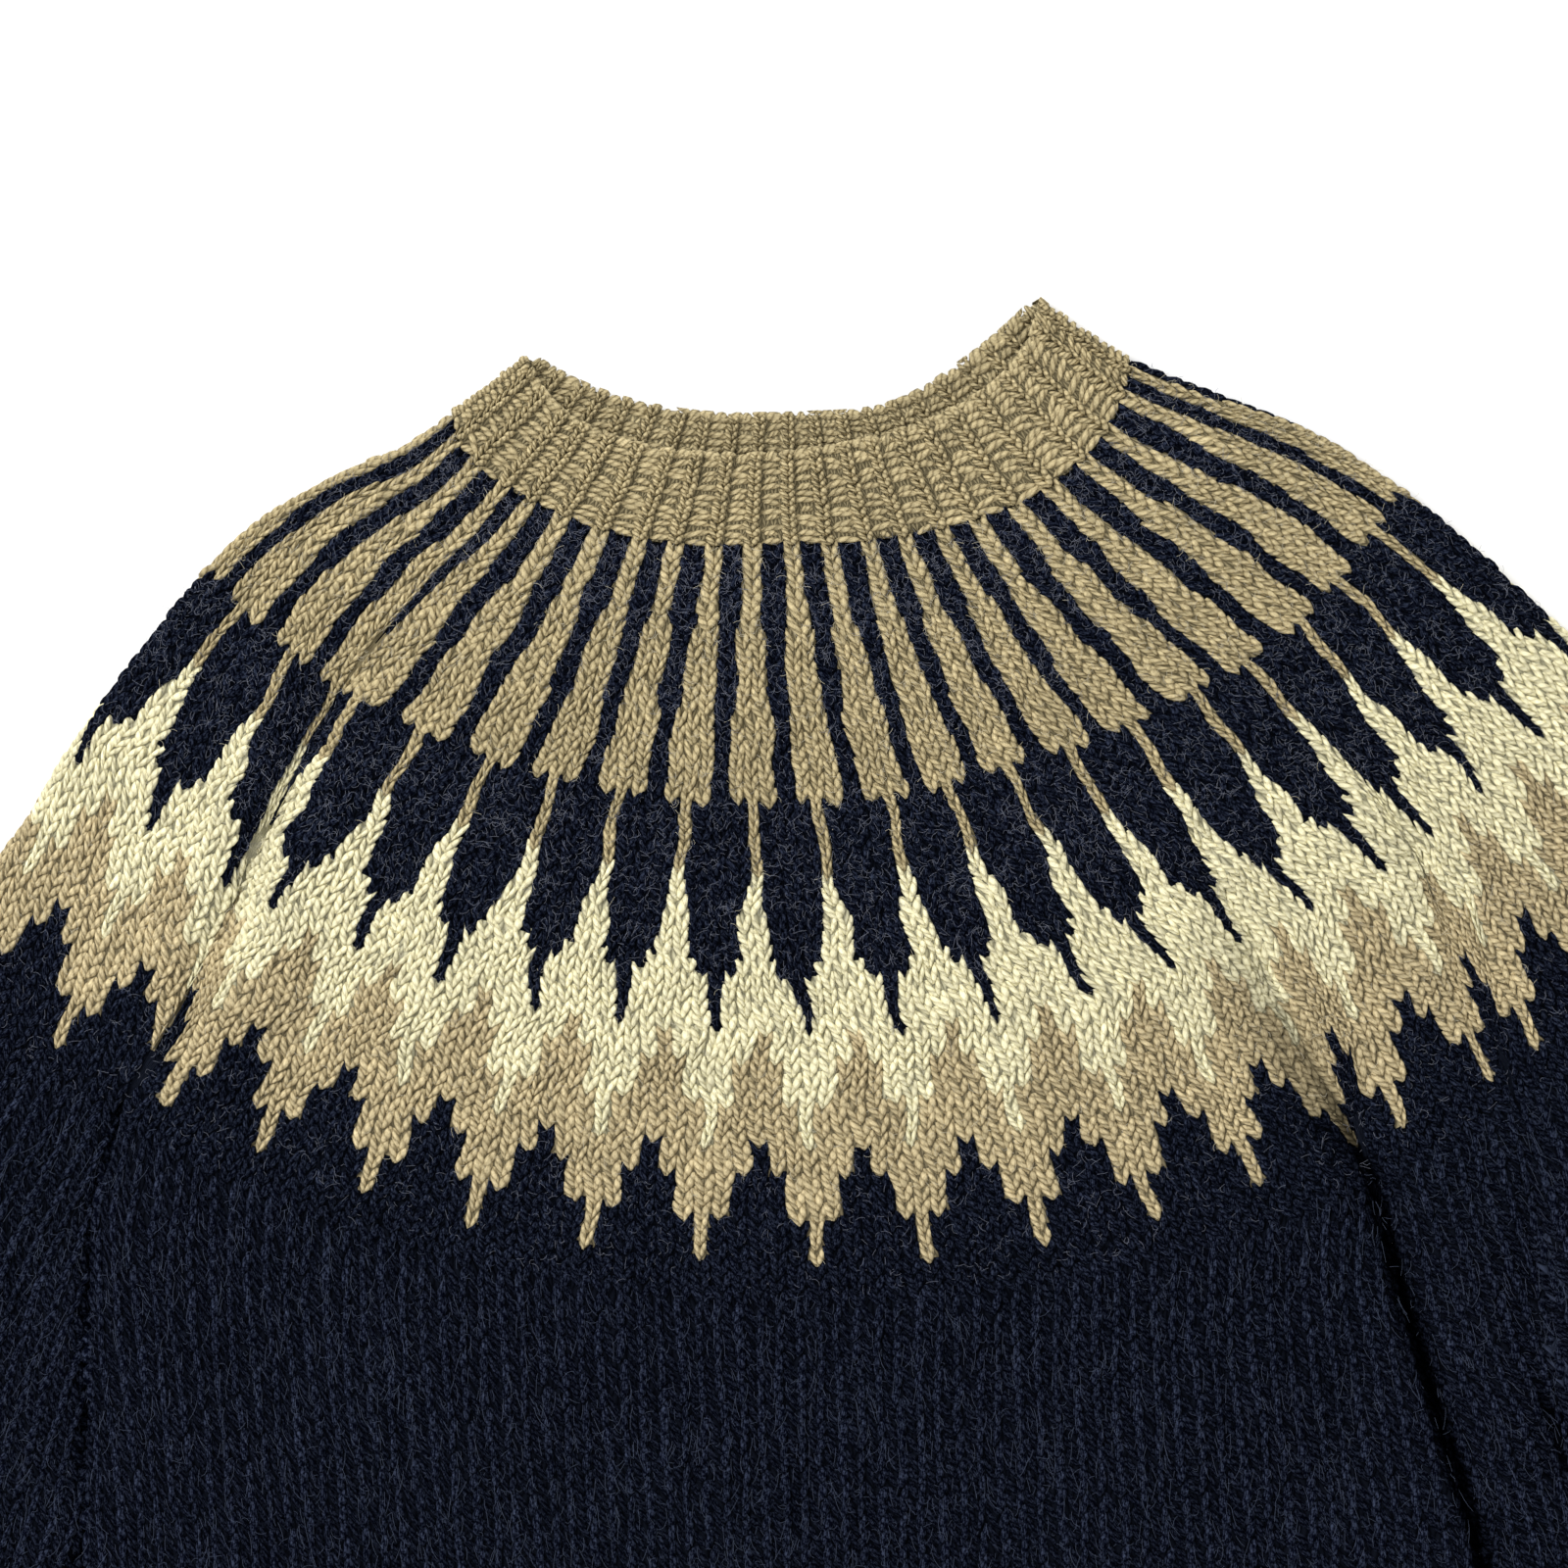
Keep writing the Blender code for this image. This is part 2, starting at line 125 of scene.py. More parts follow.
# The shape of every fold, in its widths, and a slow swell of the whole top layer
ridge = {"offset": 1.9, "width": 1.25, "share": 0.3, "ease": 0.22, "lowest": -4.2, "creaseWidth": 0.32}
swell = {"height": 1.1, "across": 118.0, "along": 146.0, "slant": 0.35}


# Each fold with the distance of places to its left and how strong it is there
def foldPlaces(x, y):
    for fold in folds:
        dx, dy = fold["x1"] - fold["x0"], fold["y1"] - fold["y0"]
        length = math.hypot(dx, dy)
        along = ((x - fold["x0"]) * dx + (y - fold["y0"]) * dy) / length
        side = ((x - fold["x0"]) * dy - (y - fold["y0"]) * dx) / length
        ease = ridge["ease"] * length
        fade = smooth((along + ease) / (2.0 * ease)) * smooth((length + ease - along) / (2.0 * ease))
        yield fold, side, fade


def relief(x, y):
    waves = np.sin(x / swell["across"] * math.pi + y * swell["slant"] / swell["along"])
    height = swell["height"] * waves * np.cos(y / swell["along"] * math.pi)
    for fold, side, fade in foldPlaces(x, y):
        wide = fold["wide"]
        rise = np.where(side < 0, fold["right"], fold["left"])
        trough = -(fold["drop"] + ridge["share"] * rise) * np.exp(-((side / wide) ** 2))
        away = (np.abs(side) - ridge["offset"] * wide) / (ridge["width"] * wide)
        crease = -fold["sharp"] * np.exp(-((side / (ridge["creaseWidth"] * wide)) ** 2))
        height = height + fade * (trough + rise * np.exp(-(away**2)) + crease)
    return np.maximum(ridge["lowest"], height)


# Where the pinched wool of a fold is dark: places (x, y) along it, the share of light lost and how wide. The
# slope beside a fold, on its left, loses a share too.
shadows = (
    {
        "x": (150.0, 180.0, 198.0, 206.0, 212.0, 228.0, 247.0),
        "y": (68.0, 12.0, -20.0, -36.0, -60.0, -115.0, -180.0),
        "lost": (0.0, 0.5, 0.9, 0.97, 0.97, 0.97, 0.97),
        "wide": (2.4, 2.6, 3.2, 4.2, 4.6, 4.6, 4.0),
        "slope": (0.0, 0.36, 0.42, 0.2, 0.0, 0.0, 0.0),
    },
    {
        "x": (-165.0, -190.0, -205.0, -214.0),
        "y": (122.0, 72.0, 41.0, 24.0),
        "lost": (0.0, 0.14, 0.05, 0.0),
        "wide": (2.4, 2.6, 2.8, 3.0),
        "slope": (0.0, 0.0, 0.0, 0.0),
    },
    {
        "x": (262.0, 266.0, 274.0, 280.0),
        "y": (-104.0, -116.0, -137.0, -152.0),
        "lost": (0.0, 0.8, 0.8, 0.0),
        "wide": (1.8, 2.0, 2.2, 2.4),
        "slope": (0.0, 0.0, 0.0, 0.0),
    },
)
pinched = {"sharp": 3, "slopeAway": 5.5, "slopeWide": 6.0, "slopePast": 3.0}


# The share of light that wool in and beside the dark creases still gets
def foldLight(x, y):
    lit = np.ones_like(x)
    for line in shadows:
        lost = np.zeros_like(x)
        for k in range(len(line["x"]) - 1):
            x0, x1, y0, y1 = line["x"][k], line["x"][k + 1], line["y"][k], line["y"][k + 1]
            dx, dy = x1 - x0, y1 - y0
            length = math.hypot(dx, dy)
            f = ((x - x0) * dx + (y - y0) * dy) / length**2
            near = np.clip(f, 0.0, 1.0)
            away = np.hypot(x - x0 - near * dx, y - y0 - near * dy)
            pinch = lerp(line["lost"][k], line["lost"][k + 1], near)
            wide = lerp(line["wide"][k], line["wide"][k + 1], near)
            pinch = pinch * np.exp(-((away / wide) ** pinched["sharp"]))
            side = ((x - x0) * dy - (y - y0) * dx) / length
            slope = lerp(line["slope"][k], line["slope"][k + 1], near)
            slope = slope * (np.abs(f - near) * length < pinched["slopePast"])
            slope = slope * np.exp(-(((side - pinched["slopeAway"]) / pinched["slopeWide"]) ** 2))
            lost = np.maximum(lost, np.maximum(pinch, slope))
        lit = lit * (1.0 - lost)
    return lit


# Bearings are degrees round the yoke's centre from straight down, to the right
def polar(bearing, radius):
    a = np.radians(bearing)
    return roundCentre[0] + radius * np.sin(a), roundCentre[1] - radius * np.cos(a)


# Where the yoke's two side folds run: their bearings at some radii
shoulderFolds = {
    "radius": (198.0, 236.0, 262.0, 300.0, 350.0, 395.0, 433.0, 490.0),
    "left": (-33.0, -36.1, -39.5, -41.8, -41.6, -41.0, -40.2, -40.0),
    "right": (35.8, 41.1, 43.8, 45.6, 46.2, 46.2, 45.6, 44.3),
}


def foldBearing(side, radius):
    return curveThrough(shoulderFolds["radius"], shoulderFolds[side], radius)


# How the yoke's neck edge departs from a circle: its left half, its corners and the back's lower edge
collar = {
    "leftRise": 6.0,
    "leftBy": 0.5,
    "leftCorner": 13.6,
    "leftSharp": 12,
    "rightCorner": 28.6,
    "rightSharp": 5,
    "backRise": 15.0,
    "backRound": 0.8,
}
# How far the rounds sag on the right half
dip = {"depth": 5.4, "by": 0.35, "until": 0.7}


def collarFront(t):
    t = np.clip(t, -1.0, 1.0)
    left = collar["leftRise"] * smooth(-t / collar["leftBy"])
    left = left - collar["leftCorner"] * np.abs(t) ** collar["leftSharp"]
    return yoke["radius"] + np.where(t < 0, left, -collar["rightCorner"] * np.abs(t) ** collar["rightSharp"])


def collarBack(t):
    across = 1.0 - np.clip(t, -1.0, 1.0) ** 2
    return collarFront(t) - collar["backRise"] * across ** collar["backRound"]


def yokeFolds(s):
    left = foldBearing("left", lerp(yoke["topLeft"], outerRadius, s))
    return left, foldBearing("right", lerp(yoke["topRight"], outerRadius, s))


# Plans of the tubes give the place of a fraction t from the left fold, -1, to the right one, 1, on round s
def yokePlan(edge):
    def place(t, s):
        sag = dip["depth"] * np.sin(math.pi * np.minimum(1.0, s / dip["until"]))
        radius = lerp(edge(t), outerRadius, s) - sag * smooth(t / dip["by"])
        left, right = yokeFolds(s)
        return polar(lerp(left, right, (t + 1.0) / 2.0), radius)

    return place


# The neckband: its rounds, its top edges as radii, corners and bearings, and the ribs outside and inside
neck = {
    "rows": 12,
    "depth": 33.0,
    "gap": 0.5,
    "front": 193.5,
    "back": 179.5,
    "slope": 12.5,
    "left": -31.5,
    "right": 31.0,
    "frontCorner": 19.6,
    "frontSharp": 6,
    "backCorner": 5.6,
    "backSharp": 4,
    "sag": 4.2,
    "sagAt": 0.32,
    "sagWide": 0.26,
    "rounding": 1.6,
    "roundingFrom": 0.95,
    "insideLight": 0.92,
    "ribs": (-2.0, 24.51),
    "insideRibs": (0.5, 21.8),
    "insideEnd": 1.05,
    "insideSpan": 0.985,
    "insideLift": 0.3,
    "insideSideLift": 0.6,
    "edgeIn": 0.1,
}


def neckPlan(front):
    left0, right0 = yokeFolds(0.0)

    def place(t, q):
        c = np.clip(t, -1.0, 1.0)
        if front:
            top, start = neck["front"] - neck["frontCorner"] * np.abs(c) ** neck["frontSharp"], collarFront(t)
        else:
            sag = neck["sag"] * np.exp(-(((c - neck["sagAt"]) / neck["sagWide"]) ** 2))
            top, start = neck["back"] + sag - neck["backCorner"] * c ** neck["backSharp"], collarBack(t)
        first = neck["roundingFrom"]
        top = top + neck["rounding"] * smooth((np.abs(c) - first) / (1.0 - first)) - neck["slope"] * t
        q = lerp(neck["gap"] / neck["depth"], 1.0, q)
        left, right = lerp(left0, neck["left"], q), lerp(right0, neck["right"], q)
        return polar(lerp(left, right, (t + 1.0) / 2.0), lerp(start, top, q))

    return place


# The body from the yoke's round edge down, and how its sides bulge
body = {
    "halfWidth": 243.0,
    "endY": -404.0,
    "rows": 62,
    "stitch": 7.05,
    "underarms": (-29.5, 24.6),
    "arcShare": 0.35,
    "arcEase": 0.85,
    "straightFrom": 0.5,
}
bulge = {"rightOut": 25.0, "rightFirst": 0.03, "rightBy": 0.37, "leftOut": 9.0, "leftBy": 0.09}


def bodyPlan(t, s):
    f = (t + 1.0) / 2.0
    arcX, arcY = polar(lerp(*body["underarms"], f), outerRadius + layer["seamGap"])
    rest = 1.0 - smooth((s - body["straightFrom"]) / (1.0 - body["straightFrom"]))
    c = np.clip(t, -1.0, 1.0)
    right = bulge["rightOut"] * smooth((s - bulge["rightFirst"]) / bulge["rightBy"]) * np.maximum(0.0, c) ** 2
    left = bulge["leftOut"] * smooth(s / bulge["leftBy"]) * np.maximum(0.0, -c) ** 2
    lowX = lerp(-body["halfWidth"], body["halfWidth"], f)
    down = np.maximum(s, 0.0) ** body["arcEase"] * body["arcShare"] + s * (1.0 - body["arcShare"])
    return lerp(arcX, lowX, s) + rest * (right - left), lerp(arcY, body["endY"], down)


hem = {"depth": 60.0, "halfWidth": 232.0, "ease": 1.4, "rows": 12, "rib": 12.4}


def hemPlan(t, s):
    wide = lerp(body["halfWidth"], hem["halfWidth"], smooth(s * hem["ease"]))
    return wide * t, body["endY"] - layer["seamGap"] - s * hem["depth"] + 0.0 * t


sleeves = {"leftRows": 71, "rightRows": 75, "stitch": 7.0, "straightBy": 0.55}

# The two edges of each sleeve at shares of its length
leftSleeve = {
    "along": (0.0, 0.12, 0.30, 0.41, 0.55, 0.75, 1.0),
    "innerX": (-236.5, -246.2, -248.2, -250.2, -271.0, -323.0, -379.0),
    "innerY": (-11.5, -56.0, -128.0, -170.0, -220.0, -286.0, -357.0),
    "outerX": (-308.9, -349.0, -400.0, -417.0, -437.0, -458.0, -478.0),
    "outerY": (38.6, -14.0, -92.0, -126.0, -169.0, -232.0, -308.0),
}
rightSleeve = {
    "along": (0.0, 0.06, 0.14, 0.30, 0.40, 0.52, 0.75, 1.0),
    "innerX": (211.0, 213.4, 219.9, 240.9, 249.9, 260.0, 292.0, 330.0),
    "innerY": (-30.5, -53.0, -83.0, -147.0, -184.0, -226.0, -307.0, -391.0),
    "outerX": (347.9, 365.0, 384.0, 411.0, 421.0, 431.0, 442.0, 434.0),
    "outerY": (63.3, 29.0, -20.0, -95.0, -135.0, -180.0, -268.0, -362.0),
}


def sleevePlan(table, bearings):
    outerLeft = table["outerX"][0] < table["innerX"][0]
    a, b = ("outer", "inner") if outerLeft else ("inner", "outer")
    tops = [table[key][0] for key in (a + "X", b + "X", a + "Y", b + "Y")]

    def place(t, s):
        f = (t + 1.0) / 2.0
        arcX, arcY = polar(lerp(*bearings, f), outerRadius + layer["seamGap"])
        fade = 1.0 - smooth(s / sleeves["straightBy"])
        edges = [curveThrough(table["along"], table[k], s) for k in (a + "X", b + "X", a + "Y", b + "Y")]
        x = lerp(edges[0], edges[1], f) + fade * (arcX - lerp(tops[0], tops[1], f))
        y = lerp(edges[2], edges[3], f) + fade * (arcY - lerp(tops[2], tops[3], f))
        return x, y

    return place


cuff = {"depth": 72.0, "width": 88.0, "ease": 2.2, "rows": 15, "rib": 11.4}


def cuffPlan(table):
    ends = [np.array([table[k + "X"][-1], table[k + "Y"][-1]]) for k in ("inner", "outer")]
    left, right = sorted(ends, key=lambda place: place[0])
    width = np.linalg.norm(right - left)
    run = (right - left) / width
    down = np.array([run[1], -run[0]])
    middle = (left + right) / 2.0

    def place(t, s):
        wide = lerp(width, cuff["width"], smooth(s * cuff["ease"])) / 2.0
        away = layer["seamGap"] + s * cuff["depth"]
        return middle[0] + run[0] * wide * t + down[0] * away, middle[1] + run[1] * wide * t + down[1] * away

    return place


# Millimetres to a unit of t beside the left or right fold of a round
def perUnit(front, end, s):
    tip, near = front(end, s), front(end * (1.0 - nearEdge), s)
    return np.maximum(np.hypot(tip[0] - near[0], tip[1] - near[1]) / nearEdge, 1.0)


# Points of a flattened tube: |t| up to 1 on the top layer, and past it round the fold and below
def skin(front, back, t, s, inside=0.0, under=0.0):
    t, s = np.broadcast_arrays(np.asarray(t, float), np.asarray(s, float))
    end = np.where(t < 0, -1.0, 1.0)
    per = perUnit(front, end, s)
    start = 1.0 - half / per
    past = (np.abs(t) - start) * per
    turn = np.clip(past / half, 0.0, math.pi)
    below = np.maximum(0.0, past - math.pi * half)
    radius = half - inside
    onFold = end * (1.0 - (half - radius * np.sin(turn)) / per)
    place = np.where(past < 0, t, np.where(below > 0, end * (start - below / per), onFold))
    frontX, frontY = front(place, s)
    backX, backY = back(place, s)
    up = np.cos(turn)
    x, y = lerp(backX, frontX, (up + 1.0) / 2.0), lerp(backY, frontY, (up + 1.0) / 2.0)
    edgeX, edgeY = front(end * start, s)
    lift = relief(np.where(past < 0, x, edgeX), np.where(past < 0, y, edgeY)) * np.maximum(0.0, up)
    z = half + np.where(up > 0, radius, half - under) * up + lift
    return np.stack([x, y, z], -1)


# How many points the plans are measured at
samples = {"round": 60, "rounds": 30, "planAcross": 80, "planAlong": 60, "lengths": 40}


def roundLength(front, s):
    x, y = front(np.linspace(-1.0, 1.0, samples["round"]), s)
    return float(np.hypot(np.diff(x), np.diff(y)).sum())


# How the repeats lie: bearings of the rays, counted from the left shoulder, at four depths of the yoke.
# Where a fold hides part of the round, two near bearings stand for a wide span of repeats.
lie = (
    {
        "depth": 0.0,
        "ray": (0, 1, 2, 3, 4, 5, 6, 7, 8, 9, 10, 11, 12, 13, 14, 15, 16, 17, 18, 19, 20, 21, 22.1),
        "bearing": (-34.7, -33.0, -30.5, -27.3, -24.7, -21.4, -17.9, -14.4, -11.3, -7.8, -4.6, -1.0,
                    2.2, 5.8, 9.0, 12.4, 15.6, 19.2, 22.7, 26.3, 29.2, 32.4, 35.1),
    },
    {
        "depth": 0.35,
        "ray": (-0.1, 1, 2, 3.1, 3.72, 4, 5, 6, 7, 8, 9, 10, 11, 12, 13, 14, 15, 16, 17, 18, 19, 20, 21,
                22.1),
        "bearing": (-41.7, -38.3, -34.0, -30.35, -30.2, -29.1, -24.8, -20.2, -15.8, -11.7, -7.4, -3.2,
                    1.0, 5.4, 9.3, 13.3, 17.4, 21.7, 26.6, 30.4, 34.8, 38.6, 42.6, 45.9),
    },
    {
        "depth": 0.66,
        "ray": (0.3, 0.5, 1.5, 2.62, 4.05, 4.5, 5.5, 6.5, 7.5, 8.5, 9.5, 10.5, 11.5, 12.5, 13.5, 14.5, 15.5,
                16.5, 17.5, 17.85, 18.2, 18.5, 19.5, 20.5, 21.7),
        "bearing": (-41.0, -40.0, -35.2, -29.81, -29.74, -27.7, -23.1, -18.7, -13.8, -9.3, -4.4, 0.3, 5.1,
                    9.9, 14.8, 19.2, 23.0, 26.6, 31.0, 32.6, 32.8, 33.9, 37.4, 41.4, 46.2),
    },
    {
        "depth": 0.985,
        "ray": (0.0, 0.5, 1.5, 2.2, 4.22, 4.5, 5.5, 6.5, 7.5, 8.5, 9.5, 10.5, 11.5, 12.5, 13.5, 14.5, 15.48,
                16.1, 16.5, 17.6, 18.12, 18.5, 19.5, 20.5, 21.05),
        "bearing": (-40.0, -37.8, -33.0, -29.64, -29.57, -28.1, -23.7, -18.9, -14.2, -9.2, -4.3, 0.65, 5.3,
                    10.2, 15.0, 19.65, 24.0, 24.25, 26.0, 30.7, 30.9, 32.5, 36.9, 41.6, 44.3),
    },
)
# From where places across are held to the folds and not to their bearings, and how far the last row reaches
foldHold = {"from": 0.45, "to": 0.95, "pastLast": 1.04}

# The rays that lie on the shoulder folds from the neckband down, and how many rays bend to meet them
edges = {
    "depth": (0.0, 0.1, 0.2, 0.3, 0.345, 0.38, 0.45, 0.55, 0.61, 0.66, 0.985),
    "left": (0.0, 0.0, 0.0, -0.08, -0.1, 0.12, 0.27, 0.36, 0.42, 0.32, 0.0),
    "right": (22.45, 22.4, 22.3, 22.12, 22.1, 21.88, 21.8, 21.72, 21.67, 21.68, 21.05),
    "reach": 1.5,
}


# Place across the yoke of ray u, counted from the left shoulder, on round v
def yokeT(u, v):
    u, s = np.broadcast_arrays(np.asarray(u, float), np.asarray(v, float) / yoke["rows"])
    depths = [row["depth"] for row in lie]
    first = curveThrough(depths, [row["ray"][0] for row in lie], s)
    last = curveThrough(depths, [row["ray"][-1] for row in lie], s)
    leftRay, rightRay = (np.interp(s, edges["depth"], edges[side]) for side in ("left", "right"))
    bendLeft = (leftRay - first) * (1.0 - smooth((u - leftRay) / edges["reach"]))
    u = u - bendLeft - (rightRay - last) * (1.0 - smooth((rightRay - u) / edges["reach"]))
    part = (u - first) / (last - first)
    bearings, fractions = [], []
    for row in lie:
        ray = np.array(row["ray"])
        bearing = np.interp(part, (ray - ray[0]) / (ray[-1] - ray[0]), row["bearing"])
        left, right = row["bearing"][0], row["bearing"][-1]
        bearings.append(bearing)
        fractions.append(2.0 * (bearing - left) / (right - left) - 1.0)
    k = np.clip(np.searchsorted(depths, s, side="right") - 1, 0, len(depths) - 2)
    f = np.clip((s - np.take(depths, k)) / np.take(np.diff(depths), k), 0.0, foldHold["pastLast"])

    def between(tables):
        tables = np.stack(tables)
        a, b = (np.take_along_axis(tables, (k + step)[None], 0)[0] for step in (0, 1))
        return lerp(a, b, f)

    left, right = yokeFolds(s)
    free = 2.0 * (between(bearings) - left) / (right - left) - 1.0
    held = between(fractions)
    t = lerp(free, held, smooth((np.abs(held) - foldHold["from"]) / (foldHold["to"] - foldHold["from"])))
    reach = (yoke["repeats"] - (rightRay - leftRay)) / 2.0
    for end, past in ((1.0, u - last), (-1.0, first - u)):
        room = 1.0 + (math.pi - 2.0) * half / perUnit(yokeFront, end, s)
        t = np.where(past > 0, end * (1.0 + past / reach * room), t)
    return t


yokeFront, yokeBack = yokePlan(collarFront), yokePlan(collarBack)
neckFront, neckBack = neckPlan(True), neckPlan(False)
beside = math.degrees(layer["sideGap"] / outerRadius)
leftPlan = sleevePlan(leftSleeve, (shoulderFolds["left"][-1], body["underarms"][0] - beside))
rightPlan = sleevePlan(rightSleeve, (body["underarms"][1] + beside, shoulderFolds["right"][-1]))


def group(name, inputs, outputs):
    tree = bpy.data.node_groups.new(name, "ShaderNodeTree")
    for label, kind, value in inputs:
        socket = tree.interface.new_socket(name=label, in_out="INPUT", socket_type=kind)
        if value is not None:
            socket.default_value = value
    for label, kind in outputs:
        tree.interface.new_socket(name=label, in_out="OUTPUT", socket_type=kind)
    return tree, tree.nodes.new("NodeGroupInput"), tree.nodes.new("NodeGroupOutput")


def plug(tree, socket, value):
    if isinstance(value, (int, float, tuple)):
        socket.default_value = value
    else:
        tree.links.new(value, socket)


def maths(tree, operation, a, b=None, clamp=False):
    node = tree.nodes.new("ShaderNodeMath")
    node.operation = operation
    node.use_clamp = clamp
    plug(tree, node.inputs[0], a)
    if b is not None:
        plug(tree, node.inputs[1], b)
    return node.outputs[0]


def mixed(tree, factor, a, b):
    node = tree.nodes.new("ShaderNodeMix")
    node.data_type = "RGBA"
    plug(tree, node.inputs[0], factor)
    plug(tree, node.inputs[6], a)
    plug(tree, node.inputs[7], b)
    return node.outputs[2]


def noise(tree, vector, scale, detail):
    node = tree.nodes.new("ShaderNodeTexNoise")
    node.inputs["Scale"].default_value = scale
    node.inputs["Detail"].default_value = detail
    plug(tree, node.inputs["Vector"], vector)
    return node.outputs[0]


def scaled(tree, vector, by):
    node = tree.nodes.new("ShaderNodeVectorMath")
    if isinstance(by, tuple):
        node.operation = "MULTIPLY"
        node.inputs[1].default_value = by
    else:
        node.operation = "SCALE"
        plug(tree, node.inputs["Scale"], by)
    plug(tree, node.inputs[0], vector)
    return node.outputs[0]


def layerOf(tree, name):
    uv = tree.nodes.new("ShaderNodeUVMap")
    uv.uv_map = name
    split = tree.nodes.new("ShaderNodeSeparateXYZ")
    tree.links.new(uv.outputs[0], split.inputs[0])
    return uv.outputs[0], split.outputs[0], split.outputs[1]


def attribute(tree, name, output):
    node = tree.nodes.new("ShaderNodeAttribute")
    node.attribute_name = name
    return node.outputs[output]


# The wool's twist, fibres, painted shade on the sides, patches and dents, as shares, noise scales and metres
wool = {
    "turns": 2.7,
    "slant": 1.1,
    "depth": 0.8,
    "plyRound": 0.75,
    "plyShare": 0.66,
    "fineScale": 1300.0,
    "detail": 3.0,
    "fine": 0.9,
    "drawnScale": (9.0, 3.2, 1.0),
    "drawn": 1.1,
    "paintedSideShade": 0.35,
    "sideSharp": 3.0,
    "patchScale": 22.0,
    "patchDetail": 2.0,
    "patch": 0.28,
    "patchBase": 0.86,
    "fibreDent": 0.8,
    "dent": 0.0007,
}


# Two plies twisted round each other, with loose fibres, painted light and shade along the plies and fibres,
# painted shade on the strands' sides and a tone for each stitch
def woolGroup():
    tree, given, out = group(
        "wool",
        [
            ("Light", "NodeSocketColor", None),
            ("Shade", "NodeSocketColor", None),
            ("Turns", "NodeSocketFloat", wool["turns"]),
            ("Slant", "NodeSocketFloat", wool["slant"]),
            ("Fibres", "NodeSocketFloat", 1.0),
            ("Ground", "NodeSocketFloat", 0.16),
            ("Depth", "NodeSocketFloat", wool["depth"]),
        ],
        [("Color", "NodeSocketColor"), ("Normal", "NodeSocketVector")],
    )
    uv, across, along = layerOf(tree, "strand")
    turn = maths(tree, "MULTIPLY", along, given.outputs["Turns"])
    slant = maths(tree, "MULTIPLY", across, given.outputs["Slant"])
    phase = maths(tree, "MULTIPLY", maths(tree, "ADD", turn, slant), math.pi)
    ply = maths(tree, "POWER", maths(tree, "ABSOLUTE", maths(tree, "SINE", phase)), wool["plyRound"])
    coordinates = tree.nodes.new("ShaderNodeTexCoord")
    place = coordinates.outputs["Object"]
    fine = maths(tree, "SUBTRACT", noise(tree, place, wool["fineScale"], wool["detail"]), 0.5)
    drawn = noise(tree, scaled(tree, uv, wool["drawnScale"]), 1.0, wool["detail"])
    drawn = maths(tree, "MULTIPLY", maths(tree, "SUBTRACT", drawn, 0.5), wool["drawn"])
    fine = maths(tree, "MULTIPLY", fine, wool["fine"])
    fibre = maths(tree, "ADD", fine, drawn)
    fibre = maths(tree, "MULTIPLY", fibre, given.outputs["Fibres"])
    lit = maths(tree, "ADD", maths(tree, "MULTIPLY", ply, wool["plyShare"]), fibre)
    lit = maths(tree, "ADD", lit, given.outputs["Ground"], True)
    colour = mixed(tree, lit, given.outputs["Shade"], given.outputs["Light"])
    # Painted shade: each strand's colour is darkened towards its two sides
    away = maths(tree, "ABSOLUTE", maths(tree, "SUBTRACT", maths(tree, "MULTIPLY", across, 2.0), 1.0))
    dark = maths(tree, "MULTIPLY", maths(tree, "POWER", away, wool["sideSharp"]), wool["paintedSideShade"])
    sides = maths(tree, "SUBTRACT", 1.0, dark)
    patch = noise(tree, place, wool["patchScale"], wool["patchDetail"])
    patch = maths(tree, "ADD", maths(tree, "MULTIPLY", patch, wool["patch"]), wool["patchBase"])
    level = maths(tree, "MULTIPLY", maths(tree, "MULTIPLY", sides, patch), attribute(tree, "tone", "Fac"))
    tree.links.new(scaled(tree, colour, level), out.inputs["Color"])
    dent = tree.nodes.new("ShaderNodeBump")
    dent.inputs["Distance"].default_value = wool["dent"]
    tree.links.new(given.outputs["Depth"], dent.inputs["Strength"])
    height = maths(tree, "ADD", ply, maths(tree, "MULTIPLY", fibre, wool["fibreDent"]))
    tree.links.new(height, dent.inputs["Height"])
    tree.links.new(dent.outputs[0], out.inputs["Normal"])
    return tree


# The cloth's knit as a bump: how steep its Vs are, how round their rows and legs, its dents and the painted
# shade of its gaps
grain = {"steep": 1.7, "rows": 0.6, "legs": 0.5, "depth": 0.8, "dent": 0.0015, "dark": 0.45}


# Rounds of V stitches as a bump and as a mask of painted shade, for the cloth behind the raised stitches and for
# the underside
def grainGroup():
    tree, given, out = group(
        "knitGrain",
        [("Depth", "NodeSocketFloat", grain["depth"])],
        [("Mask", "NodeSocketFloat"), ("Normal", "NodeSocketVector")],
    )
    across, along = layerOf(tree, "wales")[1:]
    away = maths(tree, "ABSOLUTE", maths(tree, "SUBTRACT", maths(tree, "FRACT", across), 0.5))
    rows = maths(tree, "ADD", along, maths(tree, "MULTIPLY", away, grain["steep"]))
    wave = maths(tree, "ABSOLUTE", maths(tree, "SINE", maths(tree, "MULTIPLY", rows, math.pi)))
    legs = maths(tree, "ABSOLUTE", maths(tree, "SINE", maths(tree, "MULTIPLY", across, 2.0 * math.pi)))
    wave, legs = maths(tree, "POWER", wave, grain["rows"]), maths(tree, "POWER", legs, grain["legs"])
    mask = maths(tree, "MULTIPLY", wave, legs)
    tree.links.new(mask, out.inputs["Mask"])
    dent = tree.nodes.new("ShaderNodeBump")
    dent.inputs["Distance"].default_value = grain["dent"]
    tree.links.new(given.outputs["Depth"], dent.inputs["Strength"])
    tree.links.new(mask, dent.inputs["Height"])
    tree.links.new(dent.outputs[0], out.inputs["Normal"])
    return tree


# How matt all the wool is
matt = {"roughness": 0.9, "specular": 0.0}


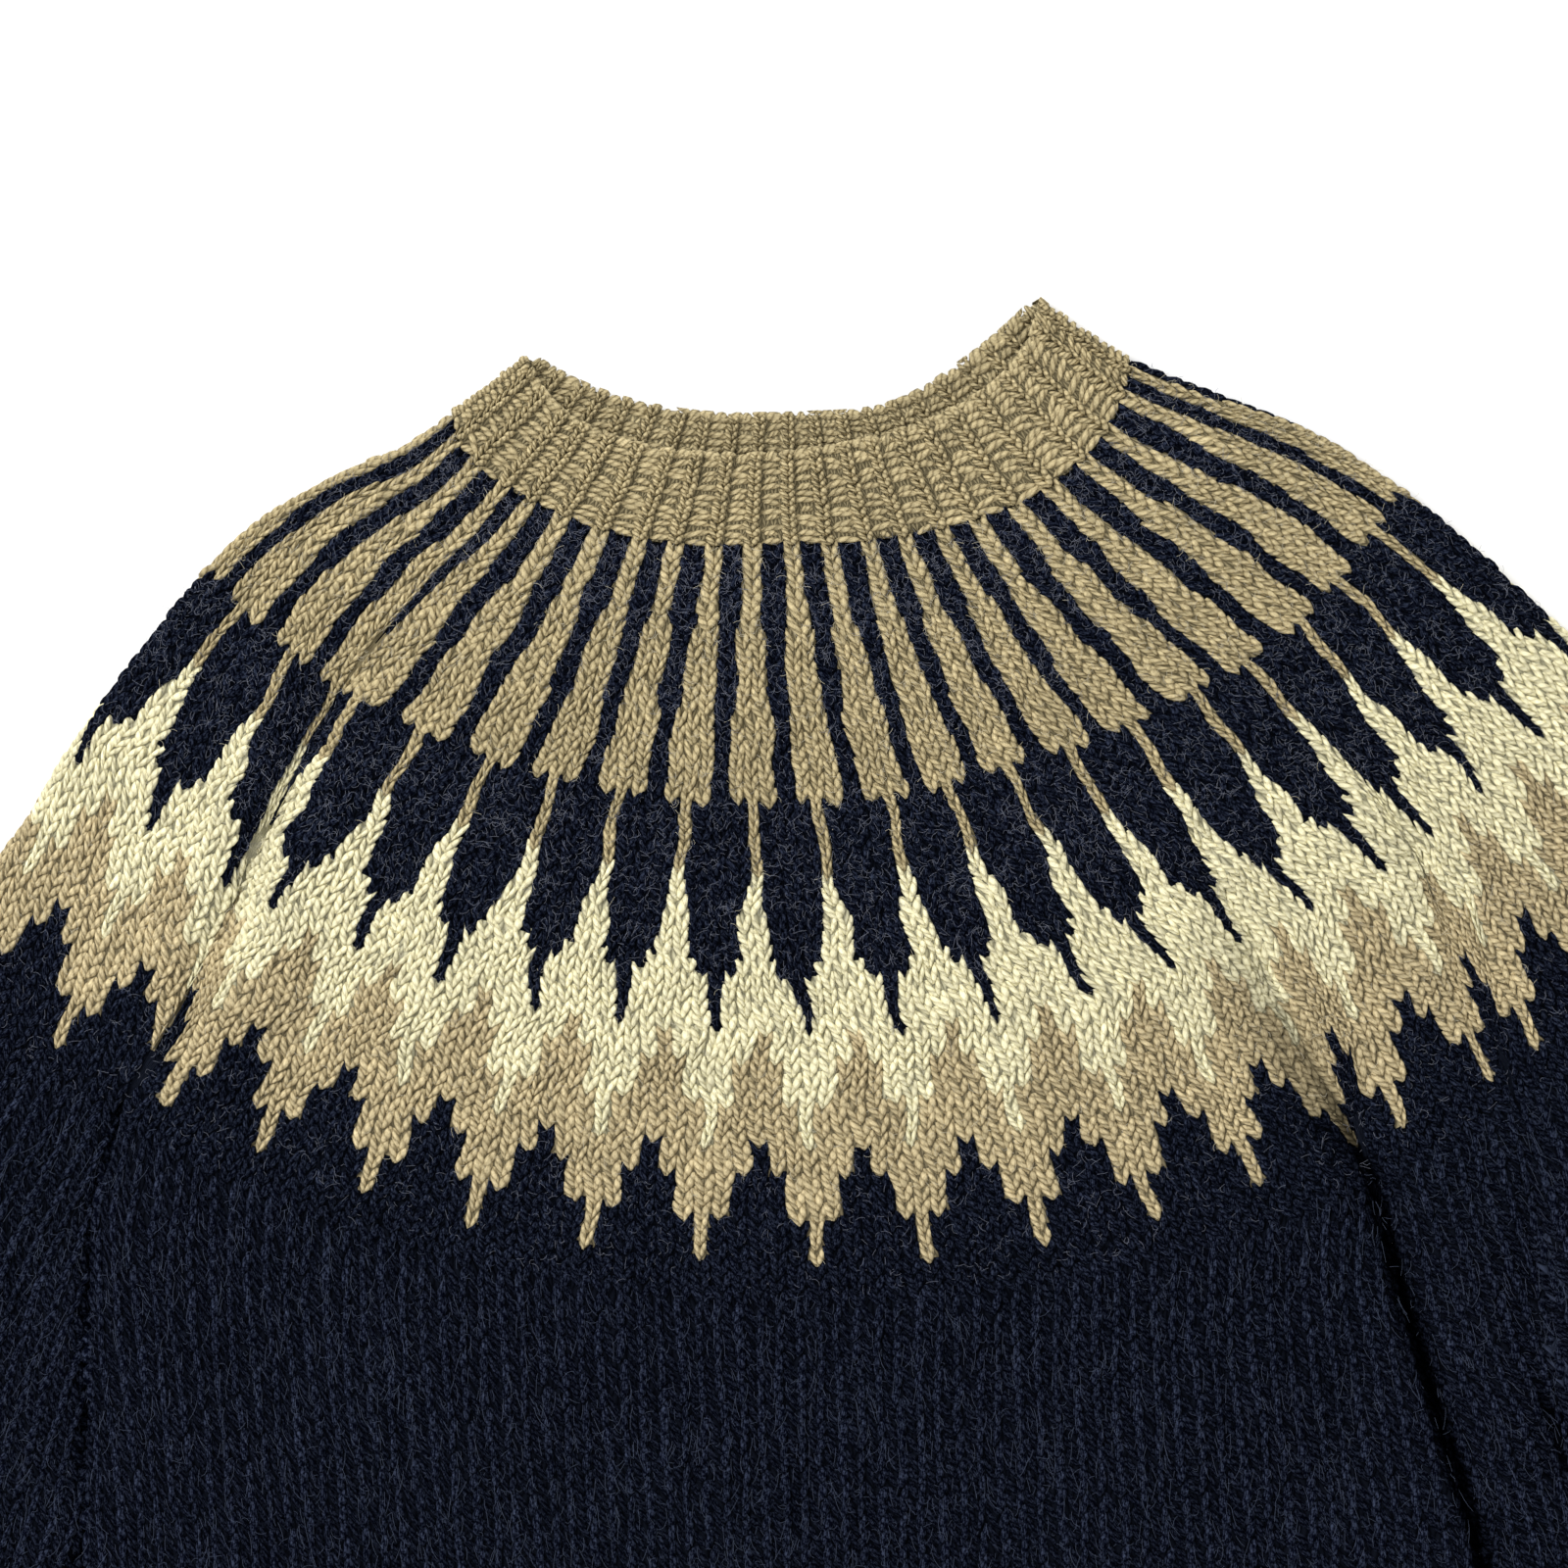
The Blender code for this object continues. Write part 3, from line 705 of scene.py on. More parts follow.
def newMaterial(name, colour=(1.0, 1.0, 1.0)):
    material = bpy.data.materials.new(name)
    material.use_nodes = True
    shader = material.node_tree.nodes["Principled BSDF"]
    shader.inputs["Base Color"].default_value = (*colour, 1.0)
    shader.inputs["Roughness"].default_value = matt["roughness"]
    shader.inputs["Specular IOR Level"].default_value = matt["specular"]
    return material, shader


# Yarns in linear colours: the painted light of lit fibres, the painted shade between the plies, how strongly the
# fibres show, how light the ground under them is, and the share of the colour left in the gaps between stitches,
# which paints the shade there
yarnKeys = ("light", "shade", "fibres", "ground", "gap", "slot")
yarns = {
    name: dict(zip(yarnKeys, row))
    for name, row in (
        ("navy", ((0.037, 0.047, 0.080), (0.0014, 0.0020, 0.0055), 2.4, -0.29, 0.12, "navy_wool")),
        ("tan", ((0.62, 0.52, 0.30), (0.17, 0.125, 0.06), 1.0, 0.16, 0.48, "tan_wool")),
        ("cream", ((0.94, 0.89, 0.605), (0.60, 0.535, 0.315), 1.0, 0.16, 0.60, "yoke_wool")),
        ("lowTan", ((0.67, 0.56, 0.335), (0.215, 0.16, 0.08), 1.0, 0.16, 0.44, "tan_wool")),
    )
}
yarnNames = tuple(yarns)


def yarnMaterial(name, woolNodes):
    yarn = yarns[name]
    material, shader = newMaterial(name + "Yarn")
    tree = material.node_tree
    node = tree.nodes.new("ShaderNodeGroup")
    node.node_tree = woolNodes
    node.inputs["Light"].default_value = (*yarn["light"], 1.0)
    node.inputs["Shade"].default_value = (*yarn["shade"], 1.0)
    node.inputs["Fibres"].default_value = yarn["fibres"]
    node.inputs["Ground"].default_value = yarn["ground"]
    tree.links.new(node.outputs["Color"], shader.inputs["Base Color"])
    tree.links.new(node.outputs["Normal"], shader.inputs["Normal"])
    return material


def clothMaterial(grainNodes):
    material, shader = newMaterial("knittedCloth")
    tree = material.node_tree
    node = tree.nodes.new("ShaderNodeGroup")
    node.node_tree = grainNodes
    base = attribute(tree, "yarn", "Color")
    # Painted shade: the knit's low parts get a darker copy of the yarn colour
    dark = scaled(tree, base, grain["dark"])
    tree.links.new(mixed(tree, node.outputs["Mask"], dark, base), shader.inputs["Base Color"])
    tree.links.new(node.outputs["Normal"], shader.inputs["Normal"])
    return material


# A joined mesh of quads from plan millimetres. uv goes by corner, and colours by face.
def meshPiece(name, verts, quads, material, node=None, uv=None, tone=None, colours=None):
    mesh = bpy.data.meshes.new(name)
    middle = np.array([*boxCentre, 0.0])
    points = ((verts.reshape(-1, 3) - middle) * 0.001).astype(np.float32)
    quads = quads.reshape(-1, 4).astype(np.int32)
    mesh.vertices.add(len(points))
    mesh.vertices.foreach_set("co", points.ravel())
    mesh.loops.add(quads.size)
    mesh.loops.foreach_set("vertex_index", quads.ravel())
    mesh.polygons.add(len(quads))
    mesh.polygons.foreach_set("loop_start", np.arange(0, quads.size, 4, dtype=np.int32))
    mesh.polygons.foreach_set("use_smooth", np.ones(len(quads), bool))
    if uv is not None:
        layerName, corners = uv
        mesh.uv_layers.new(name=layerName).data.foreach_set("uv", corners.astype(np.float32).ravel())
    if tone is not None:
        tones = mesh.attributes.new("tone", "FLOAT", "POINT")
        tones.data.foreach_set("value", tone.astype(np.float32).ravel())
    if colours is not None:
        corners = np.repeat(colours, 4, axis=0).astype(np.float32)
        mesh.attributes.new("yarn", "FLOAT_COLOR", "CORNER").data.foreach_set("color", corners.ravel())
    mesh.update(calc_edges=True)
    mesh.validate()
    mesh.materials.append(material)
    piece = bpy.data.objects.new(name, mesh)
    bpy.context.collection.objects.link(piece)
    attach(piece, "root")
    if node:
        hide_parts(node)
    return piece


# How far under the stitches their gaps get painted shade, and how light the rims of the ends stay
gapShade = {"height": 1.5, "rim": 0.35}


# The wall of one tube: an outer and an inner skin, joined at both open ends. places go once round.
def cloth(node, front, back, places, rows, steps, material, colours, gap, perColumn=1.0):
    rounds = np.linspace(0.0, rows, steps + 1)
    outer, inner = [], []
    for v in rounds:
        t = places(v)
        s = np.full_like(t, v / rows)
        outer.append(skin(front, back, t, s, layer["sink"], 0.0))
        inner.append(skin(front, back, t, s, layer["wall"], layer["wall"]))
    outer, inner = np.array(outer), np.array(inner)
    count, n = outer.shape[:2]
    verts = np.concatenate([outer.reshape(-1, 3), inner.reshape(-1, 3)])
    r, c = np.meshgrid(np.arange(count - 1), np.arange(n), indexing="ij")
    a, b = r * n + c, r * n + (c + 1) % n
    shell = np.stack([b, a, a + n, b + n], -1).reshape(-1, 4)
    lining = shell[:, ::-1] + count * n
    c = np.arange(n)
    k = (c + 1) % n
    low = (count - 1) * n
    rims = [
        np.stack([c, k, k + count * n, c + count * n], -1),
        np.stack([low + k, low + c, low + c + count * n, low + k + count * n], -1),
    ]
    left, right = (np.broadcast_to((np.arange(n) + step) * perColumn, (count - 1, n)) for step in (0, 1))
    above, beneath = (np.broadcast_to(v[:, None], (count - 1, n)) for v in (rounds[:-1], rounds[1:]))
    corners = [(right, above), (left, above), (left, beneath), (right, beneath)]
    shellUv = np.stack([np.stack(corner, -1) for corner in corners], 2).reshape(-1, 4, 2)
    uv = np.concatenate([shellUv, shellUv[:, ::-1], np.zeros((2 * n, 4, 2))])
    height = outer[:-1, :, 2]
    gap = np.broadcast_to(gap, (count - 1, n))
    # Painted shade: the top of the outer skin darkens by the yarn's gap share under the stitches and by the
    # folds' painted crease shade, the rims of the ends darken a little, and the lining keeps the full colour
    paintedShade = lerp(1.0, gap, smooth((height - half) / gapShade["height"]))
    paintedShade = paintedShade * foldLight(outer[:-1, :, 0], outer[:-1, :, 1])
    flat = np.broadcast_to(np.asarray(colours, float), (count - 1, n, 3))
    shown = (flat * paintedShade[..., None]).reshape(-1, 3)
    dark = flat * lerp(gap, 1.0, gapShade["rim"])[..., None]
    faces = np.concatenate([shown, flat.reshape(-1, 3), dark[0], dark[-1]])
    faces = np.concatenate([faces, np.ones((len(faces), 1))], 1)
    quads = np.concatenate([shell, lining, *rims])
    return meshPiece(node + "_cloth", verts, quads, material, node, ("wales", uv), None, faces)


# How fine the cloth's mesh is: cells round a fold, the width of a rib's cells, their rounds, and the cells
# across the neckband's top and underside
clothMesh = {"fold": 7, "ribCell": 5.0, "ribSteps": 8, "neckTop": 96, "neckUnder": 60}


# Evenly spaced places once round a tube: top layer left to right, right fold, underside, left fold
def roundPlaces(front, s, across, under):
    perLeft, perRight = (float(perUnit(front, np.array([end]), np.array([s]))[0]) for end in (-1.0, 1.0))
    inLeft, inRight = 1.0 - half / perLeft, 1.0 - half / perRight
    arc = math.pi * half
    turn = np.linspace(0.0, arc, clothMesh["fold"] + 2)[1:-1]
    top = np.linspace(-inLeft, inRight, across)
    right = inRight + turn / perRight
    underRight = inRight + (arc + np.linspace(0.0, inRight * perRight, under // 2)) / perRight
    underLeft = -(inLeft + (arc + np.linspace(inLeft * perLeft, 0.0, under // 2)) / perLeft)
    left = -(inLeft + turn[::-1] / perLeft)
    return np.concatenate([top, right, underRight, underLeft[1:], left])


# The steps, in columns and rounds, over which a surface's slope is taken
probe = {"across": 0.02, "down": 0.04}


def facing(spot, u, v):
    across = spot(u + probe["across"], v) - spot(u - probe["across"], v)
    down = spot(u, v + probe["down"]) - spot(u, v - probe["down"])
    n = np.cross(down, across)
    return n / np.maximum(np.linalg.norm(n, axis=-1, keepdims=True), 1e-9)


# A knitted leg from the tip of its V to the top, in stitch widths and rounds: where it runs and how fat it is
leg = {
    "across": (0.04, 0.12, 0.24, 0.345, 0.40),
    "down": (0.68, 0.37, 0.0, -0.38, -0.74),
    "wide": (0.07, 0.19, 0.235, 0.20, 0.10),
    "high": (0.15, 0.85, 1.0, 0.85, 0.15),
    "rise": 2.0,
    "leanRise": 0.5,
    "arc": 84.0,
    "sides": 4,
    "plainSides": 3,
}
# A purl bump from one end to the other: how far it reaches and bows, in columns and rounds, and how fat it is
bump = {
    "reach": 0.6,
    "bow": 0.6,
    "wide": (0.25, 0.9, 1.0, 0.9, 0.25),
    "high": (0.1, 0.85, 1.0, 0.85, 0.1),
    "thick": 0.43,
    "rise": 1.5,
}
# Ribs: the share of a rib that its knit column takes, how proud and how lopsided the column is, how uneven
# the purl bumps are, and the bumps of the cast-off edge
rib = {
    "knit": 0.42,
    "rise": 3.0,
    "lean": 0.26,
    "tilt": 0.36,
    "drift": 0.15,
    "edge": 0.30,
    "edgeWide": 0.74,
    "edgeAcross": 0.46,
    "edgeSlant": 0.22,
    "edgeStray": 0.12,
    "edgeIn": 0.15,
}
# How uneven all the stitches are in place, size and tone
uneven = {"across": 0.035, "down": 0.07, "fat": 0.09, "high": 0.12, "tone": 0.078}


# Half-round strands on a surface, from runs of centres and half widths of shape (rings, count)
def strands(spot, centreU, centreV, sideU, sideV, high, sides, shine=1.0):
    angles = np.radians(np.linspace(-leg["arc"], leg["arc"], sides))
    rings, count = centreU.shape
    points = []
    for ring in range(rings):
        n = facing(spot, centreU[ring], centreV[ring])
        line = []
        for a in angles:
            foot = spot(centreU[ring] + sideU[ring] * math.sin(a), centreV[ring] + sideV[ring] * math.sin(a))
            line.append(foot + n * (high[ring] * math.cos(a))[:, None])
        points.append(np.stack(line, 1))
    verts = np.stack(points, 1)
    verts[..., 2] = np.maximum(verts[..., 2], layer["floorGap"])
    uv = np.empty((count, rings, sides, 2))
    uv[..., 0] = np.linspace(0.0, 1.0, sides)
    uv[..., 1] = np.linspace(0.0, 1.0, rings)[None, :, None] + rng.random(count)[:, None, None]
    base = np.arange(count)[:, None, None] * rings * sides
    r, c = np.meshgrid(np.arange(rings - 1), np.arange(sides - 1), indexing="ij")
    cell = np.stack([r * sides + c, (r + 1) * sides + c, (r + 1) * sides + c + 1, r * sides + c + 1], -1)
    quads = (base + cell.reshape(1, -1, 4)).reshape(-1, 4)
    # The tone of each strand: a random tone, times shine, which paints light and shade, and times the folds'
    # painted crease shade
    own = shine * (1.0 + rng.normal(0.0, uneven["tone"], count))
    tone = own[:, None, None] * foldLight(verts[..., 0], verts[..., 1])
    return verts.reshape(-1, 3), quads, uv.reshape(-1, 2), tone.ravel()


# Knit stitches centred at (u, v), two legs in a V, width across in the same unit as u
def knits(spot, u, v, width, sides=leg["sides"], rise=leg["rise"], lean=0.0, shine=0.0):
    count = len(u)
    u = u + rng.normal(0.0, uneven["across"], count) * width
    v = v + rng.normal(0.0, uneven["down"], count)
    parts = []
    for end in (-1.0, 1.0):
        spread = end * (1.0 - lean * end + rng.normal(0.0, uneven["fat"], count)) * width
        across = np.array(leg["across"])[:, None] * spread + u
        down = np.array(leg["down"])[:, None] * (1.0 + rng.normal(0.0, uneven["down"], count)) + v
        side = np.array(leg["wide"])[:, None] * width * (1.0 + rng.normal(0.0, uneven["fat"], count))
        own = 1.0 + leg["leanRise"] * lean * end + rng.normal(0.0, uneven["high"], count)
        high = np.array(leg["high"])[:, None] * rise * own
        # Painted light and shade: the leg on one side is made lighter and the other darker by shine
        lit = 1.0 + shine * end
        parts.append(strands(spot, across, down, side, np.zeros_like(side), high, sides, lit))
    return parts


# Purl bumps, strands across a column that bow up in the middle, and with a slant a cast-off edge
def purls(spot, u, v, width, thick=bump["thick"], slant=0.0):
    count = len(u)
    f = np.linspace(-bump["reach"], bump["reach"], len(bump["wide"]))[:, None]
    tilt = slant + rng.normal(0.0, rib["tilt"], count)
    across = u + f * width * (1.0 + rng.normal(0.0, 2.0 * uneven["fat"], count))
    across = across + rng.normal(0.0, rib["drift"] / 3.0, count) * width
    down = v + rng.normal(0.0, rib["drift"], count) + bump["bow"] * f**2 + tilt * f
    side = np.array(bump["wide"])[:, None] * thick * (1.0 + rng.normal(0.0, uneven["fat"], count))
    high = np.array(bump["high"])[:, None] * bump["rise"] * (1.0 + rng.normal(0.0, uneven["high"], count))
    return [strands(spot, across, down, np.zeros_like(side), side, high, leg["sides"])]


def strandPiece(name, parts, yarn, materials):
    verts, quads, uvs, tones = zip(*parts)
    starts = np.cumsum([0] + [len(v) for v in verts[:-1]])
    quads = np.concatenate([q + start for q, start in zip(quads, starts)])
    corners = np.concatenate(uvs)[quads.ravel()]
    tone = np.concatenate(tones)
    return meshPiece(name, np.concatenate(verts), quads, materials[yarn], None,
                     ("strand", corners), tone)


# The yoke's rounds from the neckband down. A repeat has a middle block of one yarn, wide stitches of it, and
# the rest in another. The block's share of the repeat goes from the first value to the second down the band.
chartKeys = ("rows", "stitches", "middle", "wide", "rest", "share")
chart = [
    dict(zip(chartKeys, row))
    for row in (
        (6, 2, "tan", 1, "navy", (0.45, 0.45)),
        (6, 3, "tan", 2, "navy", (0.60, 0.61)),
        (6, 4, "tan", 3, "navy", (0.73, 0.73)),
        (5, 4, "tan", 1, "navy", (0.165, 0.155)),
        (3, 4, "cream", 1, "navy", (0.155, 0.28)),
        (3, 5, "cream", 2, "navy", (0.34, 0.40)),
        (1, 6, "cream", 3, "navy", (0.55, 0.55)),
        (4, 6, "cream", 5, "navy", (0.80, 0.93)),
        (2, 6, "lowTan", 1, "cream", (0.15, 0.15)),
        (3, 6, "lowTan", 3, "cream", (0.50, 0.50)),
        (3, 6, "lowTan", 5, "cream", (0.86, 0.88)),
        (2, 6, "navy", 1, "lowTan", (0.17, 0.17)),
        (3, 6, "navy", 3, "lowTan", (0.50, 0.50)),
        (3, 6, "navy", 5, "lowTan", (0.87, 0.88)),
        (2, 6, "navy", 3, "navy", (0.50, 0.50)),
    )
]


# The chart's rounds, each with its band and the share of a repeat that the middle block takes
def chartRounds():
    rounds = []
    for band in chart:
        for step in range(band["rows"]):
            rounds.append((band, lerp(*band["share"], (step + 0.5) / band["rows"])))
    return rounds + rounds[-1:]


# The yarns of a round's middle blocks and of the rest, by number, and the blocks' share
def roundYarns(row):
    bands, shares = zip(*chartRounds())
    middle, rest = (np.array([yarnNames.index(band[key]) for band in bands]) for key in ("middle", "rest"))
    return middle[row], rest[row], np.array(shares)[row]


def yarnAt(u, row):
    middle, rest, share = roundYarns(row)
    return np.where(np.abs(u - np.round(u)) < share / 2.0, middle, rest)


def mainYarn(row):
    middle, rest, share = roundYarns(row)
    return np.where(share > 0.5, middle, rest)


# Every stitch of the yoke's top: its ray place, its round, its width in rays and its yarn
def yokeStitches():
    found = []
    repeats = np.arange(*yoke["shown"])
    for row, (band, share) in enumerate(chartRounds()):
        wide, others = band["wide"], band["stitches"] - band["wide"]
        blocks = ((wide, share, -share / 2.0, "middle"), (others, 1.0 - share, share / 2.0, "rest"))
        for count, room, start, yarn in blocks:
            for k in range(count):
                u = repeats + start + (k + 0.5) * room / count
                alike = (row + 0.5, room / count, yarnNames.index(band[yarn]))
                found.append(np.stack([u, *(np.full_like(u, value) for value in alike)], -1))
    return np.concatenate(found)


# How far the columns and rounds waver, in stitches, the share of it across that a ray of the yoke has, and
# the rounds over which it fades at the yoke's edges
waver = {"across": 0.065, "down": 0.13, "rayShare": 0.2, "fade": 2.0}
# How far the rays sway along their way, in rays, and the rounds and rays over which that fades at the edges
swing = {"far": 0.022, "fromNeck": 4.0, "fromEnd": 14.0, "lastRay": 22.0, "fromSide": 2.0}
# The waves of each, two crossing ones: share, radians to a column or ray, radians to a round, and start
waveKeys = ("share", "column", "round", "start")
waveRows = {
    "raySway": ((1.0, 2.9, 1.25, 0.0), (0.7, -1.9, 0.6, 1.0)),
    "rayDrift": ((1.0, 7.0, 0.9, 0.0), (0.8, 3.1, -0.55, 1.0)),
    "rayBob": ((1.0, 5.0, 0.4, 0.0), (0.7, 2.0, -0.7, 2.0)),
    "tubeDrift": ((1.0, 2.1, 0.35, 0.0), (0.8, 0.8, -0.6, 1.3)),
    "tubeBob": ((1.0, 0.9, 0.5, 2.0), (0.7, 2.3, -0.2, 0.0)),
}


def waved(name, u, v):
    total = 0.0
    for row in waveRows[name]:
        wave = dict(zip(waveKeys, row))
        total = total + wave["share"] * np.sin(wave["column"] * u + wave["round"] * v + wave["start"])
    return total


def raySway(u, v):
    inside = smooth(v / swing["fromNeck"]) * smooth((yoke["rows"] - v) / swing["fromEnd"])
    inside = inside * smooth(u / swing["fromSide"]) * smooth((swing["lastRay"] - u) / swing["fromSide"])
    return swing["far"] * waved("raySway", u, v) * inside


def yokeSpot(u, v):
    u = u + raySway(u, v)
    drift = waver["rayShare"] * waver["across"] * waved("rayDrift", u, v)
    bob = waver["down"] * waved("rayBob", u, v)
    v = v + bob * smooth(np.minimum(v, yoke["rows"] - v) / waver["fade"])
    s = np.clip(v / yoke["rows"], *pastEnds)
    return skin(yokeFront, yokeBack, yokeT(u + drift, v), s, layer["sink"])


# The lowest rise of a surface's normal that still counts as the seen side
seenFrom = -0.75


def onTop(spot, u, v, lowest=seenFrom):
    return facing(spot, u, v)[:, 2] > lowest


# How much prouder the stitches are round the side folds, on the tubes and on the yoke and neckband
sideRise = {"tubes": 1.0, "yoke": -0.45}


# The share of its rise that a stitch has where the surface turns over a side fold
def foldRise(spot, u, v, more):
    turned = 1.0 - np.clip(facing(spot, u, v)[:, 2], 0.0, 1.0)
    return 1.0 + more * turned**2


# The degrees that a ray takes, and the share of its width under which a squeezed stitch is hidden in a fold
squeeze = {"rayTurn": 4.35, "hiddenShare": 0.27}


# Places of the yoke that no fold hides, where a width in rays keeps enough of its usual millimetres
def inSight(u, v, width):
    kept = np.linalg.norm(yokeSpot(u + width / 2.0, v) - yokeSpot(u - width / 2.0, v), axis=-1)
    usual = width * math.radians(squeeze["rayTurn"]) * lerp(yoke["radius"], outerRadius, v / yoke["rows"])
    return kept > squeeze["hiddenShare"] * usual


def buildYoke(materials):
    cell = 1.0 / yoke["cells"]
    columns = yoke["cells"] * yoke["repeats"]
    rays = np.arange(columns) * cell

    def places(v):
        u = np.where(rays > yoke["backRay"], rays - yoke["repeats"], rays)
        return np.array(yokeT(u + raySway(u, float(v)), np.full(columns, float(v))))

    cellU, cellV = np.meshgrid(rays + cell / 2.0, np.arange(yoke["rows"]))
    shown = inSight(cellU, cellV + 0.5, cell)
    found = np.where(shown, yarnAt(cellU, cellV.astype(int)), mainYarn(cellV.astype(int)))
    colours = np.array([yarns[name]["light"] for name in yarnNames])[found]
    # Each cell's gap share of painted shade under the stitches; cells hidden in a fold get less of it
    gaps = np.array([yarns[name]["gap"] for name in yarnNames])[found]
    gaps = np.where(shown, gaps, np.sqrt(gaps))
    base = cloth("yoke", yokeFront, yokeBack, places, yoke["rows"], yoke["rows"], materials["cloth"],
                 colours, gaps, yoke["cellColumns"])
    u, v, width, yarn = yokeStitches().T
    keep = inSight(u, v, width) & onTop(yokeSpot, u, v)
    pieces = []
    for number, name in enumerate(yarnNames):
        mine = keep & (yarn == number)
        label = {"lowTan": "tan_zigzag"}.get(name, name)
        rise = leg["rise"] * foldRise(yokeSpot, u[mine], v[mine], sideRise["yoke"])
        parts = knits(yokeSpot, u[mine], v[mine], width[mine], leg["sides"], rise)
        pieces.append(strandPiece("yoke_stitches_" + label, parts, name, materials))
    print("yoke stitches", keep.sum())
    return base, pieces


# A tube's stitches: how lopsided their Vs are, how much more light the upright legs catch, their first round,
# the round of the extra stitches that close the folds to the yoke and how far round those begin, and the
# columns to spare past the widest round
column = {"lean": 0.34, "shine": 0.26, "first": 1.15, "join": 0.4, "joinFrom": 0.85, "spare": 4}


# The spot of column u and round v on a tube of even columns, which are gained or lost at its folds
def tubeSpot(front, rows, stitch):
    known = np.linspace(*pastEnds, samples["lengths"])
    lengths = np.array([roundLength(front, s) for s in known])

    def spot(u, v):
        drift, bob = waver["across"] * waved("tubeDrift", u, v), waver["down"] * waved("tubeBob", u, v)
        s = np.clip((v + bob) / rows, *pastEnds)
        t = 2.0 * (u + drift) * stitch / np.interp(s, known, lengths)
        return skin(front, front, t, s, layer["sink"])

    return spot, int(math.ceil(lengths.max() / stitch)) + column["spare"]


def tubePlaces(front, rows, across):
    def places(v):
        return roundPlaces(front, v / rows, across, 2 * (across // 3))

    return places


# The upper half of a tube has finer strands than the plain lower half, which lies past the photo
def buildTube(label, front, rows, stitch, materials):
    places = tubePlaces(front, rows, int(roundLength(front, 0.5) / stitch))
    base = cloth(label, front, front, places, rows, rows // 2, materials["cloth"],
                 yarns["navy"]["light"], yarns["navy"]["gap"])
    spot, columns = tubeSpot(front, rows, stitch)
    rounds = np.append(column["join"], np.linspace(column["first"], rows - 0.5, rows - 1))
    u, v = np.meshgrid(np.arange(columns) - (columns - 1) / 2.0, rounds)
    u, v = u.ravel(), v.ravel()
    keep = onTop(spot, u, v) & ((v > column["join"]) | ~onTop(spot, u, v, column["joinFrom"]))
    u, v = u[keep], v[keep]
    rise = leg["rise"] * foldRise(spot, u, v, sideRise["tubes"])
    made, upper = [], v < rows / 2.0
    for part, sides, mine in (("upper", leg["sides"], upper), ("lower", leg["plainSides"], ~upper)):
        legs = knits(spot, u[mine], v[mine], 1.0, sides, rise[mine], column["lean"], column["shine"])
        made.append(strandPiece(f"{label}_stitches_{part}", legs, "navy", materials))
    print(label, "stitches", len(u))
    return base, made


# One by one rib: knit columns at whole u and purl bumps at the halves, with a cast-off edge at round end
def ribs(spot, u, v, end):
    keep = onTop(spot, u, v)
    u, v = u[keep], v[keep]
    knit = np.abs(u - np.round(u)) < 0.25
    rise = rib["rise"] * foldRise(spot, u[knit], v[knit], sideRise["yoke"])
    parts = knits(spot, u[knit], v[knit], rib["knit"], leg["sides"], rise, rib["lean"])
    parts += purls(spot, u[~knit], v[~knit], 1.0 - rib["knit"])
    edge = np.unique(u)
    outward = math.copysign(rib["edge"], end - v.mean())
    ends = end + outward * np.cos(2.0 * math.pi * edge) + rng.normal(0.0, rib["edgeStray"], len(edge))
    return parts + purls(spot, edge, ends, rib["edgeAcross"], rib["edgeWide"], rib["edgeSlant"])


def buildRib(label, front, rows, ribWidth, materials):
    places = tubePlaces(front, rows, int(roundLength(front, 0.5) / clothMesh["ribCell"]))
    base = cloth(label, front, front, places, rows, clothMesh["ribSteps"], materials["cloth"],
                 yarns["navy"]["light"], yarns["navy"]["gap"])
    spot, columns = tubeSpot(front, rows, ribWidth)
    u, v = np.meshgrid(np.arange(2 * columns) / 2.0 - columns // 2, np.arange(rows) + 0.5)
    parts = ribs(spot, u.ravel(), v.ravel(), rows - rib["edgeIn"])
    return base, [strandPiece(label + "_stitches", parts, "navy", materials)]


# The outside of the neckband, with its rounds counted up from the yoke as negative numbers
def neckSpot(u, v):
    t = yokeT(u, np.zeros_like(u))
    return skin(neckFront, neckBack, t, np.clip(-v / neck["rows"], *pastEnds), layer["sink"])


# The upper face of the band's back, seen through the neck opening
def neckInside(u, v):
    t = np.clip(yokeT(u, np.zeros_like(u)), -1.0, 1.0)
    x, y = neckBack(t * neck["insideSpan"], np.clip(-v / neck["rows"], pastEnds[0], neck["insideEnd"]))
    lift = neck["insideLift"] + neck["insideSideLift"] * np.abs(t) ** 3
    return np.stack([x, y, layer["wall"] + lift], -1)


def buildNeck(materials):
    rows = neck["rows"]

    def places(v):
        return roundPlaces(neckFront, v / rows, clothMesh["neckTop"], clothMesh["neckUnder"])

    base = cloth("neckband", neckFront, neckBack, places, rows, clothMesh["ribSteps"], materials["cloth"],
                 yarns["tan"]["light"], yarns["tan"]["gap"])
    u, v = np.meshgrid(np.arange(*neck["ribs"], 0.5), -(np.arange(rows) + 0.5))
    outside = ribs(neckSpot, u.ravel(), v.ravel(), neck["edgeIn"] - rows)
    u, v = np.meshgrid(np.arange(*neck["insideRibs"], 0.5), -(np.arange(2, rows) + 0.5))
    inside = ribs(neckInside, u.ravel(), v.ravel(), -neck["edgeIn"] - rows)
    inside = [(*strand, tone * neck["insideLight"]) for *strand, tone in inside]
    return base, [
        strandPiece("neckband_stitches", outside, "tan", materials),
        strandPiece("neckband_inside_stitches", inside, "tan", materials),
    ]


